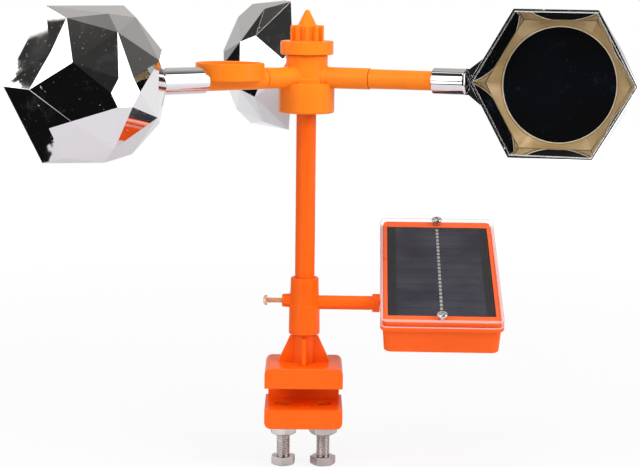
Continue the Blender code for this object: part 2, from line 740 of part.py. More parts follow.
# Tee, set screw and pivot screw
def build_tee():
    swivel = Matrix.Rotation(math.radians(TEE_SWIVEL_DEGREES), 4, "Z")
    axis = make_empty("tee_swivel_axis", swivel)
    bore = POLE_RADIUS + PLAY
    top = TEE_BOTTOM + TEE_HEIGHT
    bead = TEE_BOTTOM + TEE_HEIGHT * TEE_BEAD_SHARE
    bead_radius = TEE_BOTTOM_RADIUS + (TEE_TOP_RADIUS - TEE_BOTTOM_RADIUS) * TEE_BEAD_SHARE
    tee = turned(
        "tee_collar",
        [
            (bore, top),
            (TEE_TOP_RADIUS - TEE_BEAD, top),
            (TEE_TOP_RADIUS, top - TEE_BEAD),
            (bead_radius, bead + TEE_BEAD),
            (bead_radius + TEE_BEAD, bead),
            (TEE_BOTTOM_RADIUS, TEE_BOTTOM + TEE_ROUND),
        ]
        + arc(TEE_BOTTOM_RADIUS - TEE_ROUND, TEE_BOTTOM + TEE_ROUND, TEE_ROUND, -30, -90, 2)
        + [(bore, TEE_BOTTOM)],
        at(),
        axis,
        steps=ROUND_STEPS,
        closed=True,
    )
    arm_start = (bore + TEE_TOP_RADIUS) / 2
    arm = turned(
        "tee_arm",
        [
            (0.0, TEE_FLANGE_FACE),
            (TEE_FLANGE_RADIUS, TEE_FLANGE_FACE),
            (TEE_FLANGE_RADIUS, TEE_ARM_REACH),
            (TEE_ARM_RADIUS, TEE_ARM_REACH),
            (TEE_ARM_RADIUS, arm_start),
            (0.0, arm_start),
        ],
        at(z=TEE_AXIS_HEIGHT) @ ALONG_X,
        axis,
        steps=SMALL_STEPS,
    )
    boss = disc(
        "tee_boss",
        TEE_BOSS_RADIUS,
        arm_start,
        TEE_BOSS_REACH,
        at(z=TEE_SCREW_HEIGHT) @ ALONG_MINUS_X,
        axis,
    )
    screw_hole = disc(
        "set_screw_hole",
        SET_SCREW_RADIUS + PLAY,
        POLE_RADIUS - OVERRUN,
        TEE_BOSS_REACH + OVERRUN,
        at(z=TEE_SCREW_HEIGHT) @ ALONG_MINUS_X,
        axis,
    )
    pivot_hole = disc(
        "pivot_screw_hole",
        PIVOT_SCREW_RADIUS + PLAY,
        TEE_FLANGE_FACE - PIVOT_SCREW_DEPTH - PLAY,
        TEE_FLANGE_FACE + OVERRUN,
        at(z=TEE_AXIS_HEIGHT) @ ALONG_X,
        axis,
    )
    join(tee, arm, boss)
    cut(tee, screw_hole, pivot_hole)
    finish(tee, "orange_plastic")

    tip = POLE_RADIUS + PLAY
    under_head = tip + SET_SCREW_LENGTH
    screw = turned(
        "set_screw",
        [
            (0.0, under_head + SET_SCREW_HEAD),
            (SET_SCREW_HEAD_RADIUS / 2, under_head + SET_SCREW_HEAD),
            (SET_SCREW_HEAD_RADIUS, under_head + SET_SCREW_HEAD / 2),
            (SET_SCREW_HEAD_RADIUS, under_head),
            (SET_SCREW_RADIUS, under_head),
            (SET_SCREW_RADIUS, tip),
            (0.0, tip),
        ],
        at(z=TEE_SCREW_HEIGHT) @ ALONG_MINUS_X,
        axis,
        steps=SMALL_STEPS,
    )
    finish(screw, "coppery_steel")

    washer_face = TRAY_SIDE + 2 * PIVOT_PAD + TRAY_WALL + PLAY
    washer = ring(
        "pivot_washer",
        PIVOT_SCREW_RADIUS + PLAY,
        PIVOT_WASHER_RADIUS,
        washer_face,
        washer_face + PIVOT_WASHER_THICKNESS,
        at(z=TEE_AXIS_HEIGHT) @ ALONG_X,
        axis,
        steps=SMALL_STEPS,
    )
    finish(washer, "screw_chrome")
    head_face = washer_face + PIVOT_WASHER_THICKNESS + PLAY
    pivot = turned(
        "pivot_screw",
        [
            (0.0, head_face + PIVOT_HEAD),
            (PIVOT_HEAD_RADIUS / 2, head_face + PIVOT_HEAD),
            (PIVOT_HEAD_RADIUS, head_face + PIVOT_HEAD / 2),
            (PIVOT_HEAD_RADIUS, head_face),
            (PIVOT_SCREW_RADIUS, head_face),
            (PIVOT_SCREW_RADIUS, TEE_FLANGE_FACE - PIVOT_SCREW_DEPTH),
            (0.0, TEE_FLANGE_FACE - PIVOT_SCREW_DEPTH),
        ],
        at(z=TEE_AXIS_HEIGHT) @ ALONG_X,
        axis,
        steps=SMALL_STEPS,
    )
    finish(pivot, "screw_chrome")
    return axis


# Solar box. Its own frame has X across, Y along towards the back and Z out of the lid's top.
def box_frame(tee_axis):
    pivot = at(TRAY_SIDE, 0.0, TEE_AXIS_HEIGHT)
    tilt = Matrix.Rotation(math.radians(BOX_TILT_DEGREES), 4, "X")
    hinge = make_empty("box_tilt_axis", pivot @ tilt, tee_axis)
    return make_empty("box_frame", at(BOX_CENTRE_X, PIVOT_FORWARD, PIVOT_DROP), hinge)


def box_slab(name, width, length, top, bottom, frame, corner, edge=0.0, draft=0.0):
    return slab(
        name,
        (width, length, top - bottom),
        (0.0, 0.0, (top + bottom) / 2),
        parent=frame,
        corner=corner,
        edge=edge,
        draft=draft,
    )


def screw_ends():
    reach = LID_LENGTH / 2 - LID_SCREW_INSET
    return (("front", -reach), ("back", reach))


def build_lid(frame):
    lid = box_slab(
        "clear_lid", LID_WIDTH, LID_LENGTH, 0.0, -LID_HEIGHT, frame, BOX_CORNER, edge=JAW_EDGE
    )
    hollow = box_slab(
        "lid_hollow",
        LID_WIDTH - 2 * LID_WALL,
        LID_LENGTH - 2 * LID_WALL,
        -LID_PLATE,
        -LID_HEIGHT - OVERRUN,
        frame,
        BOX_CORNER - LID_WALL,
    )
    cut(lid, hollow)
    crown_width, crown_height = SCREW_CROWN_SHARES
    for name, along in screw_ends():
        pad = disc(
            f"lid_pad_{name}", LID_PAD_RADIUS, -SUNK, LID_PAD_HEIGHT, at(y=along), frame
        )
        hole = disc(
            f"lid_hole_{name}",
            LID_SCREW_RADIUS + PLAY,
            -LID_HEIGHT,
            LID_PAD_HEIGHT + OVERRUN,
            at(y=along),
            frame,
        )
        join(lid, pad)
        cut(lid, hole)
        seat = LID_PAD_HEIGHT + PLAY
        screw = turned(
            f"lid_screw_{name}",
            [
                (0.0, seat + LID_SCREW_HEAD),
                (LID_SCREW_HEAD_RADIUS * crown_width, seat + LID_SCREW_HEAD * crown_height),
                (LID_SCREW_HEAD_RADIUS, seat + LID_SCREW_HEAD / 2),
                (LID_SCREW_HEAD_RADIUS, seat),
                (LID_SCREW_RADIUS, seat),
                (LID_SCREW_RADIUS, seat - LID_SCREW_LENGTH),
                (0.0, seat - LID_SCREW_LENGTH - LID_SCREW_RADIUS / 2),
            ],
            at(y=along),
            frame,
            steps=SMALL_STEPS,
        )
        finish(screw, "screw_chrome")
    finish(lid, "clear_plastic")


def build_tray(frame):
    rim_top = -LID_HEIGHT - PLAY
    rim_bottom = rim_top - TRAY_RIM
    bottom = rim_bottom - TRAY_DEPTH
    floor = bottom + TRAY_WALL
    tray = box_slab(
        "solar_tray",
        TRAY_WIDTH,
        TRAY_LENGTH,
        rim_bottom + SUNK,
        bottom,
        frame,
        BOX_CORNER,
        draft=TRAY_DRAFT,
    )
    rim = box_slab(
        "tray_rim", LID_WIDTH, LID_LENGTH, rim_top, rim_bottom, frame, BOX_CORNER, edge=JAW_EDGE / 2
    )
    hollow = box_slab(
        "tray_hollow",
        TRAY_WIDTH - 2 * TRAY_WALL,
        TRAY_LENGTH - 2 * TRAY_WALL,
        rim_top + OVERRUN,
        floor,
        frame,
        BOX_CORNER - TRAY_WALL,
        draft=TRAY_DRAFT,
    )
    pivot_place = at(-TRAY_WIDTH / 2, -PIVOT_FORWARD, -PIVOT_DROP) @ ALONG_X
    pad_top = TRAY_WALL + PIVOT_PAD
    pad = disc("pivot_pad", PIVOT_PAD_RADIUS, -PIVOT_PAD, pad_top, pivot_place, frame, ROUND_STEPS)
    join(tray, rim)
    cut(tray, hollow)
    join(tray, pad)
    plug_bottom = rim_top - FRAME_PLUG + PLAY
    for name, along in screw_ends():
        boss = disc(
            f"screw_boss_{name}",
            SCREW_BOSS_RADIUS,
            floor - SUNK,
            plug_bottom - 2 * PLAY,
            at(y=along),
            frame,
        )
        hole = disc(
            f"screw_boss_hole_{name}",
            LID_SCREW_RADIUS + PLAY,
            floor,
            rim_top + OVERRUN,
            at(y=along),
            frame,
        )
        join(tray, boss)
        cut(tray, hole)
    board_x = BOARD_WIDTH / 2 - BOARD_POST_INSET
    board_y = BOARD_LENGTH / 2 - BOARD_POST_INSET
    for x in (-board_x, board_x):
        for y in (-board_y, board_y):
            post = disc(
                f"board_post_{len(CUTTERS.objects)}",
                BOARD_POST_RADIUS,
                floor - SUNK,
                floor + BOARD_POST_HEIGHT,
                at(x, y - BOARD_FORWARD),
                frame,
                steps=SMALL_STEPS,
            )
            join(tray, post)
    pivot_hole = disc(
        "tray_pivot_hole",
        PIVOT_SCREW_RADIUS + PLAY,
        -PIVOT_PAD - OVERRUN,
        pad_top + OVERRUN,
        pivot_place,
        frame,
    )
    slot = slab(
        "switch_slot",
        (*SWITCH_SLOT, TRAY_WALL + 2 * OVERRUN),
        (SWITCH_SIDE, -SOUNDER_FORWARD, bottom + TRAY_WALL / 2),
        parent=frame,
    )
    cut(tray, pivot_hole, slot)
    for index in range(7):
        angle = math.radians(60 * index)
        reach = SOUND_HOLE_RING if index < 6 else 0.0
        hole = disc(
            f"sound_hole_{index}",
            SOUND_HOLE_RADIUS,
            bottom - OVERRUN,
            floor + OVERRUN,
            at(reach * math.cos(angle), reach * math.sin(angle) - SOUNDER_FORWARD),
            frame,
            steps=SOUND_HOLE_STEPS,
        )
        cut(tray, hole)
    finish(tray, "orange_plastic")
    return rim_top, floor, bottom


def build_panel(frame, rim_top):
    plate_bottom = rim_top + PLAY
    plate_top = plate_bottom + FRAME_PLATE
    plug_bottom = rim_top - FRAME_PLUG + PLAY
    slack = FRAME_SIDE_SLACK
    holder = box_slab(
        "panel_frame",
        LID_WIDTH - 2 * LID_WALL - 2 * slack,
        LID_LENGTH - 2 * LID_WALL - 2 * slack,
        plate_top,
        plate_bottom,
        frame,
        BOX_CORNER - LID_WALL,
    )
    plug = box_slab(
        "frame_plug",
        TRAY_WIDTH - 2 * TRAY_WALL - 2 * PLAY,
        TRAY_LENGTH - 2 * TRAY_WALL - 2 * PLAY,
        plate_bottom + SUNK,
        plug_bottom,
        frame,
        BOX_CORNER - TRAY_WALL,
    )
    panel_top = -PANEL_DROP
    panel_bottom = panel_top - PANEL_THICKNESS
    recess = box_slab(
        "panel_recess",
        PANEL_WIDTH + 2 * PLAY,
        PANEL_LENGTH + 2 * PLAY,
        plate_top + OVERRUN,
        panel_bottom - PLAY,
        frame,
        0.0,
    )
    wire_hole = disc(
        "wire_hole",
        WIRE_HOLE_RADIUS,
        plug_bottom - OVERRUN,
        plate_top + OVERRUN,
        at(y=BATTERY_BACK),
        frame,
    )
    join(holder, plug)
    cut(holder, recess, wire_hole)
    for name, along in screw_ends():
        hole = disc(
            f"frame_hole_{name}",
            LID_SCREW_RADIUS + PLAY,
            plug_bottom - OVERRUN,
            plate_top + OVERRUN,
            at(y=along),
            frame,
        )
        cut(holder, hole)
    finish(holder, "orange_plastic")
    panel = box_slab(
        "solar_panel", PANEL_WIDTH, PANEL_LENGTH, panel_top, panel_bottom, frame, 0.0
    )
    finish(panel, "solar_cells", smooth=False)


def build_electrics(frame, floor, bottom):
    battery = slab(
        "battery",
        BATTERY_SIZE,
        (0.0, BATTERY_BACK, floor + PLAY + BATTERY_SIZE[2] / 2),
        parent=frame,
        corner=BATTERY_ROUND,
        along="Y",
        segments=3,
    )
    finish(battery, "battery_foil")
    board_bottom = floor + BOARD_POST_HEIGHT + PLAY
    board = slab(
        "circuit_board",
        (BOARD_WIDTH, BOARD_LENGTH, BOARD_THICKNESS),
        (0.0, -BOARD_FORWARD, board_bottom + BOARD_THICKNESS / 2),
        parent=frame,
    )
    chip = slab(
        "controller_chip",
        CHIP_SIZE,
        (0.0, -BOARD_FORWARD, board_bottom + BOARD_THICKNESS + CHIP_SIZE[2] / 2 - SUNK / 2),
        parent=frame,
    )
    join(board, chip)
    finish(board, "board_green", smooth=False)
    sounder = disc(
        "sounder",
        SOUNDER_RADIUS,
        floor + PLAY,
        floor + PLAY + SOUNDER_HEIGHT,
        at(y=-SOUNDER_FORWARD),
        frame,
        steps=ROUND_STEPS,
        edge=JAW_EDGE,
    )
    finish(sounder, "black_plastic")

    switch_place = (SWITCH_SIDE, -SOUNDER_FORWARD)
    body = slab(
        "switch_body",
        SWITCH_SIZE,
        (*switch_place, floor + PLAY + SWITCH_SIZE[2] / 2),
        parent=frame,
    )
    socket = slab(
        "switch_socket",
        (*SWITCH_SLOT, SWITCH_KNOB_ROOT + PLAY + OVERRUN),
        (*switch_place, floor + PLAY + (SWITCH_KNOB_ROOT + PLAY - OVERRUN) / 2),
        parent=frame,
    )
    cut(body, socket)
    finish(body, "black_plastic", smooth=False)
    top = floor + PLAY + SWITCH_KNOB_ROOT
    low = bottom - SWITCH_KNOB_REACH
    knob = slab(
        "switch_knob",
        (*SWITCH_KNOB, top - low),
        (SWITCH_SIDE - SWITCH_REST, -SOUNDER_FORWARD, (top + low) / 2),
        parent=frame,
    )
    finish(knob, "black_plastic", smooth=False)


# Spindle and bearing
def build_spindle():
    shank_bottom = POLE_TOP - SPINDLE_SHANK_LENGTH
    flange_top = FLANGE_BOTTOM + SPINDLE_FLANGE
    seat_top = BEARING_TOP + PLAY
    spindle = turned(
        "spindle",
        [
            (0.0, SPINDLE_TOP),
            (SPINDLE_TIP_RADIUS - SPINDLE_CHAMFER, SPINDLE_TOP),
            (SPINDLE_TIP_RADIUS, SPINDLE_TOP - SPINDLE_CHAMFER),
            (SPINDLE_TIP_RADIUS, SPINDLE_SHOULDER),
            (SPINDLE_NECK_RADIUS, SPINDLE_SHOULDER),
            (SPINDLE_NECK_RADIUS, seat_top),
            (SPINDLE_SEAT_RADIUS, seat_top),
            (SPINDLE_SEAT_RADIUS, flange_top),
            (SPINDLE_FLANGE_RADIUS, flange_top),
            (SPINDLE_FLANGE_RADIUS, FLANGE_BOTTOM),
            (SPINDLE_SHANK_RADIUS, FLANGE_BOTTOM),
            (SPINDLE_SHANK_RADIUS, shank_bottom + SPINDLE_CHAMFER),
            (SPINDLE_SHANK_RADIUS - SPINDLE_CHAMFER, shank_bottom),
            (0.0, shank_bottom),
        ],
        steps=ROUND_STEPS,
    )
    finish(spindle, "bearing_steel")
    washer = ring(
        "top_washer",
        SPINDLE_TIP_RADIUS + PLAY,
        TOP_WASHER_RADIUS,
        TOP_WASHER_BOTTOM,
        TOP_WASHER_BOTTOM + TOP_WASHER_THICKNESS,
        steps=SMALL_STEPS,
    )
    finish(washer, "zinc_steel")
    nut = hexagon_bar(
        "top_nut", TOP_NUT_FLATS, TOP_NUT_BOTTOM, TOP_NUT_BOTTOM + TOP_NUT_HEIGHT
    )
    bore = disc(
        "top_nut_bore",
        SPINDLE_TIP_RADIUS + PLAY,
        TOP_NUT_BOTTOM - OVERRUN,
        TOP_NUT_BOTTOM + TOP_NUT_HEIGHT + OVERRUN,
    )
    cut(nut, bore)
    finish(nut, "zinc_steel")


def build_bearing():
    middle = (BEARING_BOTTOM + BEARING_TOP) / 2
    groove = BALL_RADIUS + PLAY
    inner_half = math.degrees(math.acos((BALL_CIRCLE - INNER_RACE_RADIUS) / groove))
    outer_half = math.degrees(math.acos((OUTER_RACE_BORE - BALL_CIRCLE) / groove))
    inner = turned(
        "bearing_inner_race",
        [(BEARING_BORE, BEARING_TOP), (INNER_RACE_RADIUS, BEARING_TOP)]
        + arc(BALL_CIRCLE, middle, groove, 180 - inner_half, 180 + inner_half, 4)
        + [(INNER_RACE_RADIUS, BEARING_BOTTOM), (BEARING_BORE, BEARING_BOTTOM)],
        steps=ROUND_STEPS,
        closed=True,
    )
    finish(inner, "bearing_steel")
    outer = turned(
        "bearing_outer_race",
        [
            (OUTER_RACE_BORE, BEARING_TOP),
            (BEARING_RADIUS, BEARING_TOP),
            (BEARING_RADIUS, BEARING_BOTTOM),
            (OUTER_RACE_BORE, BEARING_BOTTOM),
        ]
        + arc(BALL_CIRCLE, middle, groove, -outer_half, outer_half, 4),
        steps=FINE_STEPS,
        closed=True,
    )
    finish(outer, "bearing_steel")
    cage = ring(
        "bearing_cage",
        BALL_CIRCLE - CAGE_WIDTH / 2,
        BALL_CIRCLE + CAGE_WIDTH / 2,
        middle - CAGE_HEIGHT / 2,
        middle + CAGE_HEIGHT / 2,
        steps=ROUND_STEPS,
    )
    for index in range(BALL_COUNT):
        angle = 2 * math.pi * index / BALL_COUNT
        place = at(BALL_CIRCLE * math.cos(angle), BALL_CIRCLE * math.sin(angle), middle)

        def build(bm):
            bmesh.ops.create_uvsphere(bm, u_segments=7, v_segments=5, radius=BALL_RADIUS)

        ball = make_object(f"bearing_ball_{index}", mesh_from("bearing_ball", build), place)
        join(cage, ball)
    finish(cage, "bearing_steel")


# Rotor hub, bush and cap nut
def build_hub(rotor_axis):
    bearing_seat = BEARING_RADIUS + PLAY
    shoulder = BEARING_TOP + PLAY
    shaft_hole = SPINDLE_SEAT_RADIUS + 2 * PLAY
    bush_seat_bottom = NECK_TOP - BUSH_HEIGHT
    bush_seat = BUSH_RADIUS + PLAY
    lip_top = COLLAR_TOP + HUB_LIP_HEIGHT
    down = -ARM_HEIGHT
    hub = turned(
        "rotor_hub",
        [(bush_seat, NECK_TOP), (HUB_NECK_RADIUS, NECK_TOP), (HUB_NECK_RADIUS, HUB_TOP)]
        + [(HUB_RADIUS, HUB_TOP), (HUB_RADIUS, lip_top), (HUB_RADIUS + HUB_LIP, lip_top)]
        + [(HUB_RADIUS + HUB_LIP, COLLAR_TOP)]
        + arc(COLLAR_RADIUS - COLLAR_TOP_ROUND, COLLAR_TOP - COLLAR_TOP_ROUND, COLLAR_TOP_ROUND, 90, 0, 2)
        + arc(COLLAR_RADIUS - COLLAR_ROUND, COLLAR_BOTTOM + COLLAR_ROUND, COLLAR_ROUND, 0, -90, 4)
        + [
            (bearing_seat, COLLAR_BOTTOM),
            (bearing_seat, shoulder),
            (HUB_SHOULDER_BORE, shoulder),
            (HUB_SHOULDER_BORE, shoulder + HUB_SHOULDER_HEIGHT),
            (shaft_hole, shoulder + HUB_SHOULDER_HEIGHT),
            (shaft_hole, bush_seat_bottom),
            (bush_seat, bush_seat_bottom),
        ],
        at(z=down),
        rotor_axis,
        steps=FINE_STEPS,
        closed=True,
    )
    stub_start = bush_seat + PLAY
    for name, angle in ARM_ANGLE_DEGREES.items():
        end = STUB_END_AT_DISH if name == "left" else STUB_END
        place = Matrix.Rotation(math.radians(angle), 4, "Z") @ ALONG_X
        stub = disc(
            f"stub_{name}", STUB_RADIUS, stub_start, end, place, rotor_axis, steps=ROUND_STEPS
        )
        bore = disc(
            f"stub_bore_{name}",
            ARM_PLUG_RADIUS + PLAY,
            end - STUB_BORE_DEPTH,
            end + OVERRUN,
            place,
            rotor_axis,
            steps=SMALL_STEPS,
        )
        join(hub, stub)
        cut(hub, bore)
    finish(hub, "orange_plastic")

    bush_bottom = bush_seat_bottom + PLAY
    bush_bore = BUSH_RADIUS - BUSH_WALL
    bush = turned(
        "top_bush",
        [
            (bush_bore, BUSH_TOP),
            (BUSH_FLANGE_RADIUS, BUSH_TOP),
            (BUSH_FLANGE_RADIUS, BUSH_TOP - BUSH_FLANGE),
            (BUSH_RADIUS, BUSH_TOP - BUSH_FLANGE),
            (BUSH_RADIUS, bush_bottom),
            (bush_bore, bush_bottom),
        ],
        at(z=down),
        rotor_axis,
        steps=ROUND_STEPS,
        closed=True,
    )
    finish(bush, "bronze")


def build_cap(rotor_axis):
    down = -ARM_HEIGHT
    neck_room = HUB_NECK_RADIUS + PLAY
    neck_room_top = NECK_TOP + PLAY
    flange_room = BUSH_FLANGE_RADIUS + PLAY
    flange_room_top = BUSH_TOP + PLAY
    hollow_top = SPINDLE_TOP + CAP_HOLLOW_ROOM
    cone_edge = KNOB_TOP
    tip_height = CONE_HEIGHT - CONE_TIP_RADIUS
    cap = turned(
        "cap_nut",
        [(0.0, cone_edge + CONE_HEIGHT)]
        + arc(0.0, cone_edge + tip_height, CONE_TIP_RADIUS, 60, 20, 2)
        + [
            (CONE_RADIUS, cone_edge),
            (KNOB_CORE_RADIUS, cone_edge - KNOB_RIB_TOP_DROP),
            (KNOB_CORE_RADIUS, CAP_FLANGE_TOP),
        ]
        + arc(CAP_RADIUS - CAP_ROUND, CAP_FLANGE_TOP - CAP_ROUND, CAP_ROUND, 90, 0, 3)
        + [
            (CAP_RADIUS, CAP_BOTTOM),
            (neck_room, CAP_BOTTOM),
            (neck_room, neck_room_top),
            (flange_room, neck_room_top),
            (flange_room, flange_room_top),
            (CAP_HOLLOW_RADIUS, flange_room_top),
            (CAP_HOLLOW_RADIUS, hollow_top),
            (0.0, hollow_top),
        ],
        at(z=down),
        rotor_axis,
        steps=FINE_STEPS,
    )
    rib_inner = KNOB_CORE_RADIUS - SUNK
    rib_top = KNOB_TOP - KNOB_RIB_TOP_DROP / 2
    rib_bottom = CAP_FLANGE_TOP - SUNK
    for index in range(KNOB_RIB_COUNT):
        turn = Matrix.Rotation(2 * math.pi * (index + 0.5) / KNOB_RIB_COUNT, 4, "Z")
        rib = slab(
            f"knob_rib_{index}",
            (KNOB_RIB_RADIUS - rib_inner, KNOB_RIB_WIDTH, rib_top - rib_bottom),
            ((KNOB_RIB_RADIUS + rib_inner) / 2, 0.0, (rib_top + rib_bottom) / 2),
            at(z=down) @ turn,
            rotor_axis,
            edge=KNOB_RIB_TOP_DROP,
        )
        join(cap, rib)
    finish(cap, "orange_plastic")


# Arms. An arm's own frame has X along the arm and -Y towards the mouth of its cup.
def neck_start(name):
    """How far out along the arm the cup's sleeve begins."""
    if name == "left":
        return DISH_CENTRE + DISH_RADIUS - NECK_SLEEVE_LAP
    return ARM_SHOULDER + PLAY


def arm_profile(plug_start, root, root_radius):
    nose_end = ARM_SHOULDER + ARM_NOSE_LENGTH
    return [
        (0.0, nose_end),
        (ARM_NOSE_RADIUS - ARM_CHAMFER, nose_end),
        (ARM_NOSE_RADIUS, nose_end - ARM_CHAMFER),
        (ARM_NOSE_RADIUS, ARM_SHOULDER),
        (ARM_TIP_RADIUS, ARM_SHOULDER),
        (root_radius, root),
        (ARM_PLUG_RADIUS, root),
        (ARM_PLUG_RADIUS, plug_start + ARM_CHAMFER),
        (ARM_PLUG_RADIUS - ARM_CHAMFER, plug_start),
        (0.0, plug_start),
    ]


def build_plain_arm(name, arm_frame):
    plug_start = STUB_END - STUB_BORE_DEPTH + PLAY
    profile = arm_profile(plug_start, STUB_END + PLAY, ARM_ROOT_RADIUS)
    arm = turned(f"arm_{name}", profile, ALONG_X, arm_frame, steps=ROUND_STEPS)
    finish(arm, "orange_plastic")


def build_dish_arm(name, arm_frame):
    plug_start = STUB_END_AT_DISH - STUB_BORE_DEPTH + PLAY
    sleeve_start = neck_start(name) - PLAY
    nose_end = ARM_SHOULDER + ARM_NOSE_LENGTH
    profile = [
        (0.0, nose_end),
        (ARM_NOSE_RADIUS - ARM_CHAMFER, nose_end),
        (ARM_NOSE_RADIUS, nose_end - ARM_CHAMFER),
        (ARM_NOSE_RADIUS, sleeve_start),
        (STUB_RADIUS, sleeve_start),
        (STUB_RADIUS, STUB_END_AT_DISH + PLAY),
        (ARM_PLUG_RADIUS, STUB_END_AT_DISH + PLAY),
        (ARM_PLUG_RADIUS, plug_start + ARM_CHAMFER),
        (ARM_PLUG_RADIUS - ARM_CHAMFER, plug_start),
        (0.0, plug_start),
    ]
    arm = turned(f"arm_{name}", profile, ALONG_X, arm_frame, steps=ROUND_STEPS)
    dish = disc(
        "arm_dish",
        DISH_RADIUS,
        -DISH_BELOW,
        DISH_ABOVE,
        at(x=DISH_CENTRE),
        arm_frame,
        steps=FINE_STEPS,
        edge=DISH_EDGE,
    )
    hollow = disc(
        "arm_dish_hollow",
        DISH_RADIUS - DISH_WALL,
        -DISH_BELOW + DISH_FLOOR,
        DISH_ABOVE + OVERRUN,
        at(x=DISH_CENTRE),
        arm_frame,
        steps=FINE_STEPS,
    )
    join(arm, dish)
    cut(arm, hollow)
    finish(arm, "orange_plastic")


# Cups. A cup's own frame is its arm's, moved out to the middle of its rim and twisted about the arm.
def cup_ring(name):
    """The six points of one ring of the cup's facets."""
    radius_share, depth_share, turn = CUP_RING_SHARES[name]
    radius = radius_share * CUP_RADIUS
    depth = depth_share * CUP_RADIUS - CUP_FORWARD
    points = []
    for index in range(CUP_SIDES):
        angle = 2 * math.pi * (index + turn) / CUP_SIDES
        points.append(Vector((radius * math.cos(angle), depth, radius * math.sin(angle))))
    return points


def cup_facets(scale=1.0, closed=False):
    """The faceted bowl: triangles between five rings, and a flat hexagon at the crown."""
    bm = bmesh.new()
    centre = Vector((0.0, -CUP_FORWARD, 0.0))
    rings = []
    for name in CUP_RING_SHARES:
        rings.append([bm.verts.new(centre + (p - centre) * scale) for p in cup_ring(name)])
    rim, shoulder, mid, brow, crown = rings
    for i in range(CUP_SIDES):
        j = (i + 1) % CUP_SIDES
        for corners in (
            (rim[i], rim[j], mid[i]),
            (rim[i], mid[i], shoulder[i]),
            (rim[j], shoulder[j], mid[i]),
            (shoulder[i], mid[i], brow[i]),
            (shoulder[j], brow[i], mid[i]),
            (shoulder[j], brow[j], brow[i]),
            (brow[i], brow[j], crown[j]),
            (brow[i], crown[j], crown[i]),
        ):
            bm.faces.new(corners)
    crown_face = bm.faces.new(crown)
    if closed:
        bm.faces.new(rim)
    bmesh.ops.recalc_face_normals(bm, faces=bm.faces[:])
    if crown_face.normal.y < 0:
        bmesh.ops.reverse_faces(bm, faces=bm.faces[:])
    mesh = bpy.data.meshes.new("cup_facets")
    bm.to_mesh(mesh)
    bm.free()
    return mesh


def neck_web(name, cup_frame):
    """The corner between the sleeve and the two nearest rim edges, as the hull of a ring and three points."""

    def build(bm):
        rim = cup_ring("rim")
        near = CUP_SIDES // 2
        start = -CUP_RADIUS - NECK_WEB_LENGTH
        for step in range(ROUND_STEPS):
            angle = 2 * math.pi * step / ROUND_STEPS
            radius = NECK_RADIUS - PLAY / 2
            bm.verts.new((start, radius * math.cos(angle), radius * math.sin(angle)))
        for side in (near - 1, near + 1):
            bm.verts.new(rim[near].lerp(rim[side], NECK_WEB_SHARE))
        bm.verts.new(rim[near].lerp(cup_ring("shoulder")[near], NECK_WEB_SHARE))
        hull = bmesh.ops.convex_hull(bm, input=bm.verts[:])
        spare = [v for v in hull["geom_interior"] if isinstance(v, bmesh.types.BMVert)]
        bmesh.ops.delete(bm, geom=spare, context="VERTS")

    return make_object(f"neck_web_{name}", mesh_from("neck_web", build), at(), cup_frame)


def build_cup_shell(name, cup_frame):
    shell = make_object(f"cup_shell_{name}", cup_facets(), at(), cup_frame)
    wall = shell.modifiers.new("wall", "SOLIDIFY")
    wall.thickness = CUP_WALL
    wall.offset = -1.0
    wall.use_even_offset = True
    wall.use_rim = True

    distance = CUP_DISTANCE[name]
    start = neck_start(name) - distance
    end = -CUP_RADIUS + NECK_INTO_CUP
    bore_end = ARM_SHOULDER + ARM_NOSE_LENGTH + PLAY - distance
    neck = turned(
        f"neck_{name}",
        [
            (0.0, end),
            (NECK_RADIUS, end),
            (NECK_RADIUS, start + NECK_EDGE),
            (NECK_RADIUS - NECK_EDGE, start),
            (0.0, start),
        ],
        ALONG_X,
        cup_frame,
        steps=ROUND_STEPS,
    )
    web = neck_web(name, cup_frame)
    join(neck, web)
    bore = disc(
        f"neck_bore_{name}",
        NECK_RADIUS - NECK_WALL,
        start - OVERRUN,
        bore_end,
        ALONG_X,
        cup_frame,
        steps=ROUND_STEPS,
    )
    core = make_object(
        f"cup_core_{name}", cup_facets(CUP_CORE_SHARE, closed=True), at(), cup_frame
    )
    reach = 2 * CUP_RADIUS
    front = slab(
        f"mouth_clearance_{name}",
        (reach, reach, reach),
        (-CUP_RADIUS + reach / 2, PLAY - CUP_FORWARD - reach / 2, 0.0),
        parent=cup_frame,
    )
    cut(neck, bore, core, front)
    if name == "left":
        clearance = disc(
            "dish_clearance",
            DISH_RADIUS + PLAY,
            -DISH_BELOW - PLAY,
            NECK_RADIUS + OVERRUN,
            at(x=DISH_CENTRE),
            cup_frame.parent,
            steps=FINE_STEPS,
        )
        cut(neck, clearance)
    join(shell, neck)
    finish(shell, "mirror_chrome", smooth=False)


def wall_radius(depth, turn):
    """The cup's outer radius at a depth, on the line of its corners (0) or between them (1)."""
    rim_radius = CUP_RADIUS
    far = "shoulder"
    if turn:
        rim_radius = CUP_RADIUS * math.cos(math.pi / CUP_SIDES)
        far = "mid"
    far_radius, far_depth, _ = CUP_RING_SHARES[far]
    share = depth / (far_depth * CUP_RADIUS)
    return rim_radius + (far_radius * CUP_RADIUS - rim_radius) * share


def outline_ring(bm, depth, inset):
    """Points round the inside of the cup's wall at a depth: twelve corners, with straight lines between."""
    corners = []
    for index in range(2 * CUP_SIDES):
        radius = wall_radius(depth, index % 2) - inset
        angle = math.pi * index / CUP_SIDES
        corners.append(Vector((radius * math.cos(angle), radius * math.sin(angle))))
    per_side = MIRROR_STEPS // len(corners)
    verts = []
    for step in range(MIRROR_STEPS):
        corner, part = divmod(step, per_side)
        point = corners[corner].lerp(corners[(corner + 1) % len(corners)], part / per_side)
        verts.append(bm.verts.new((point.x, depth - CUP_FORWARD, point.y)))
    return verts


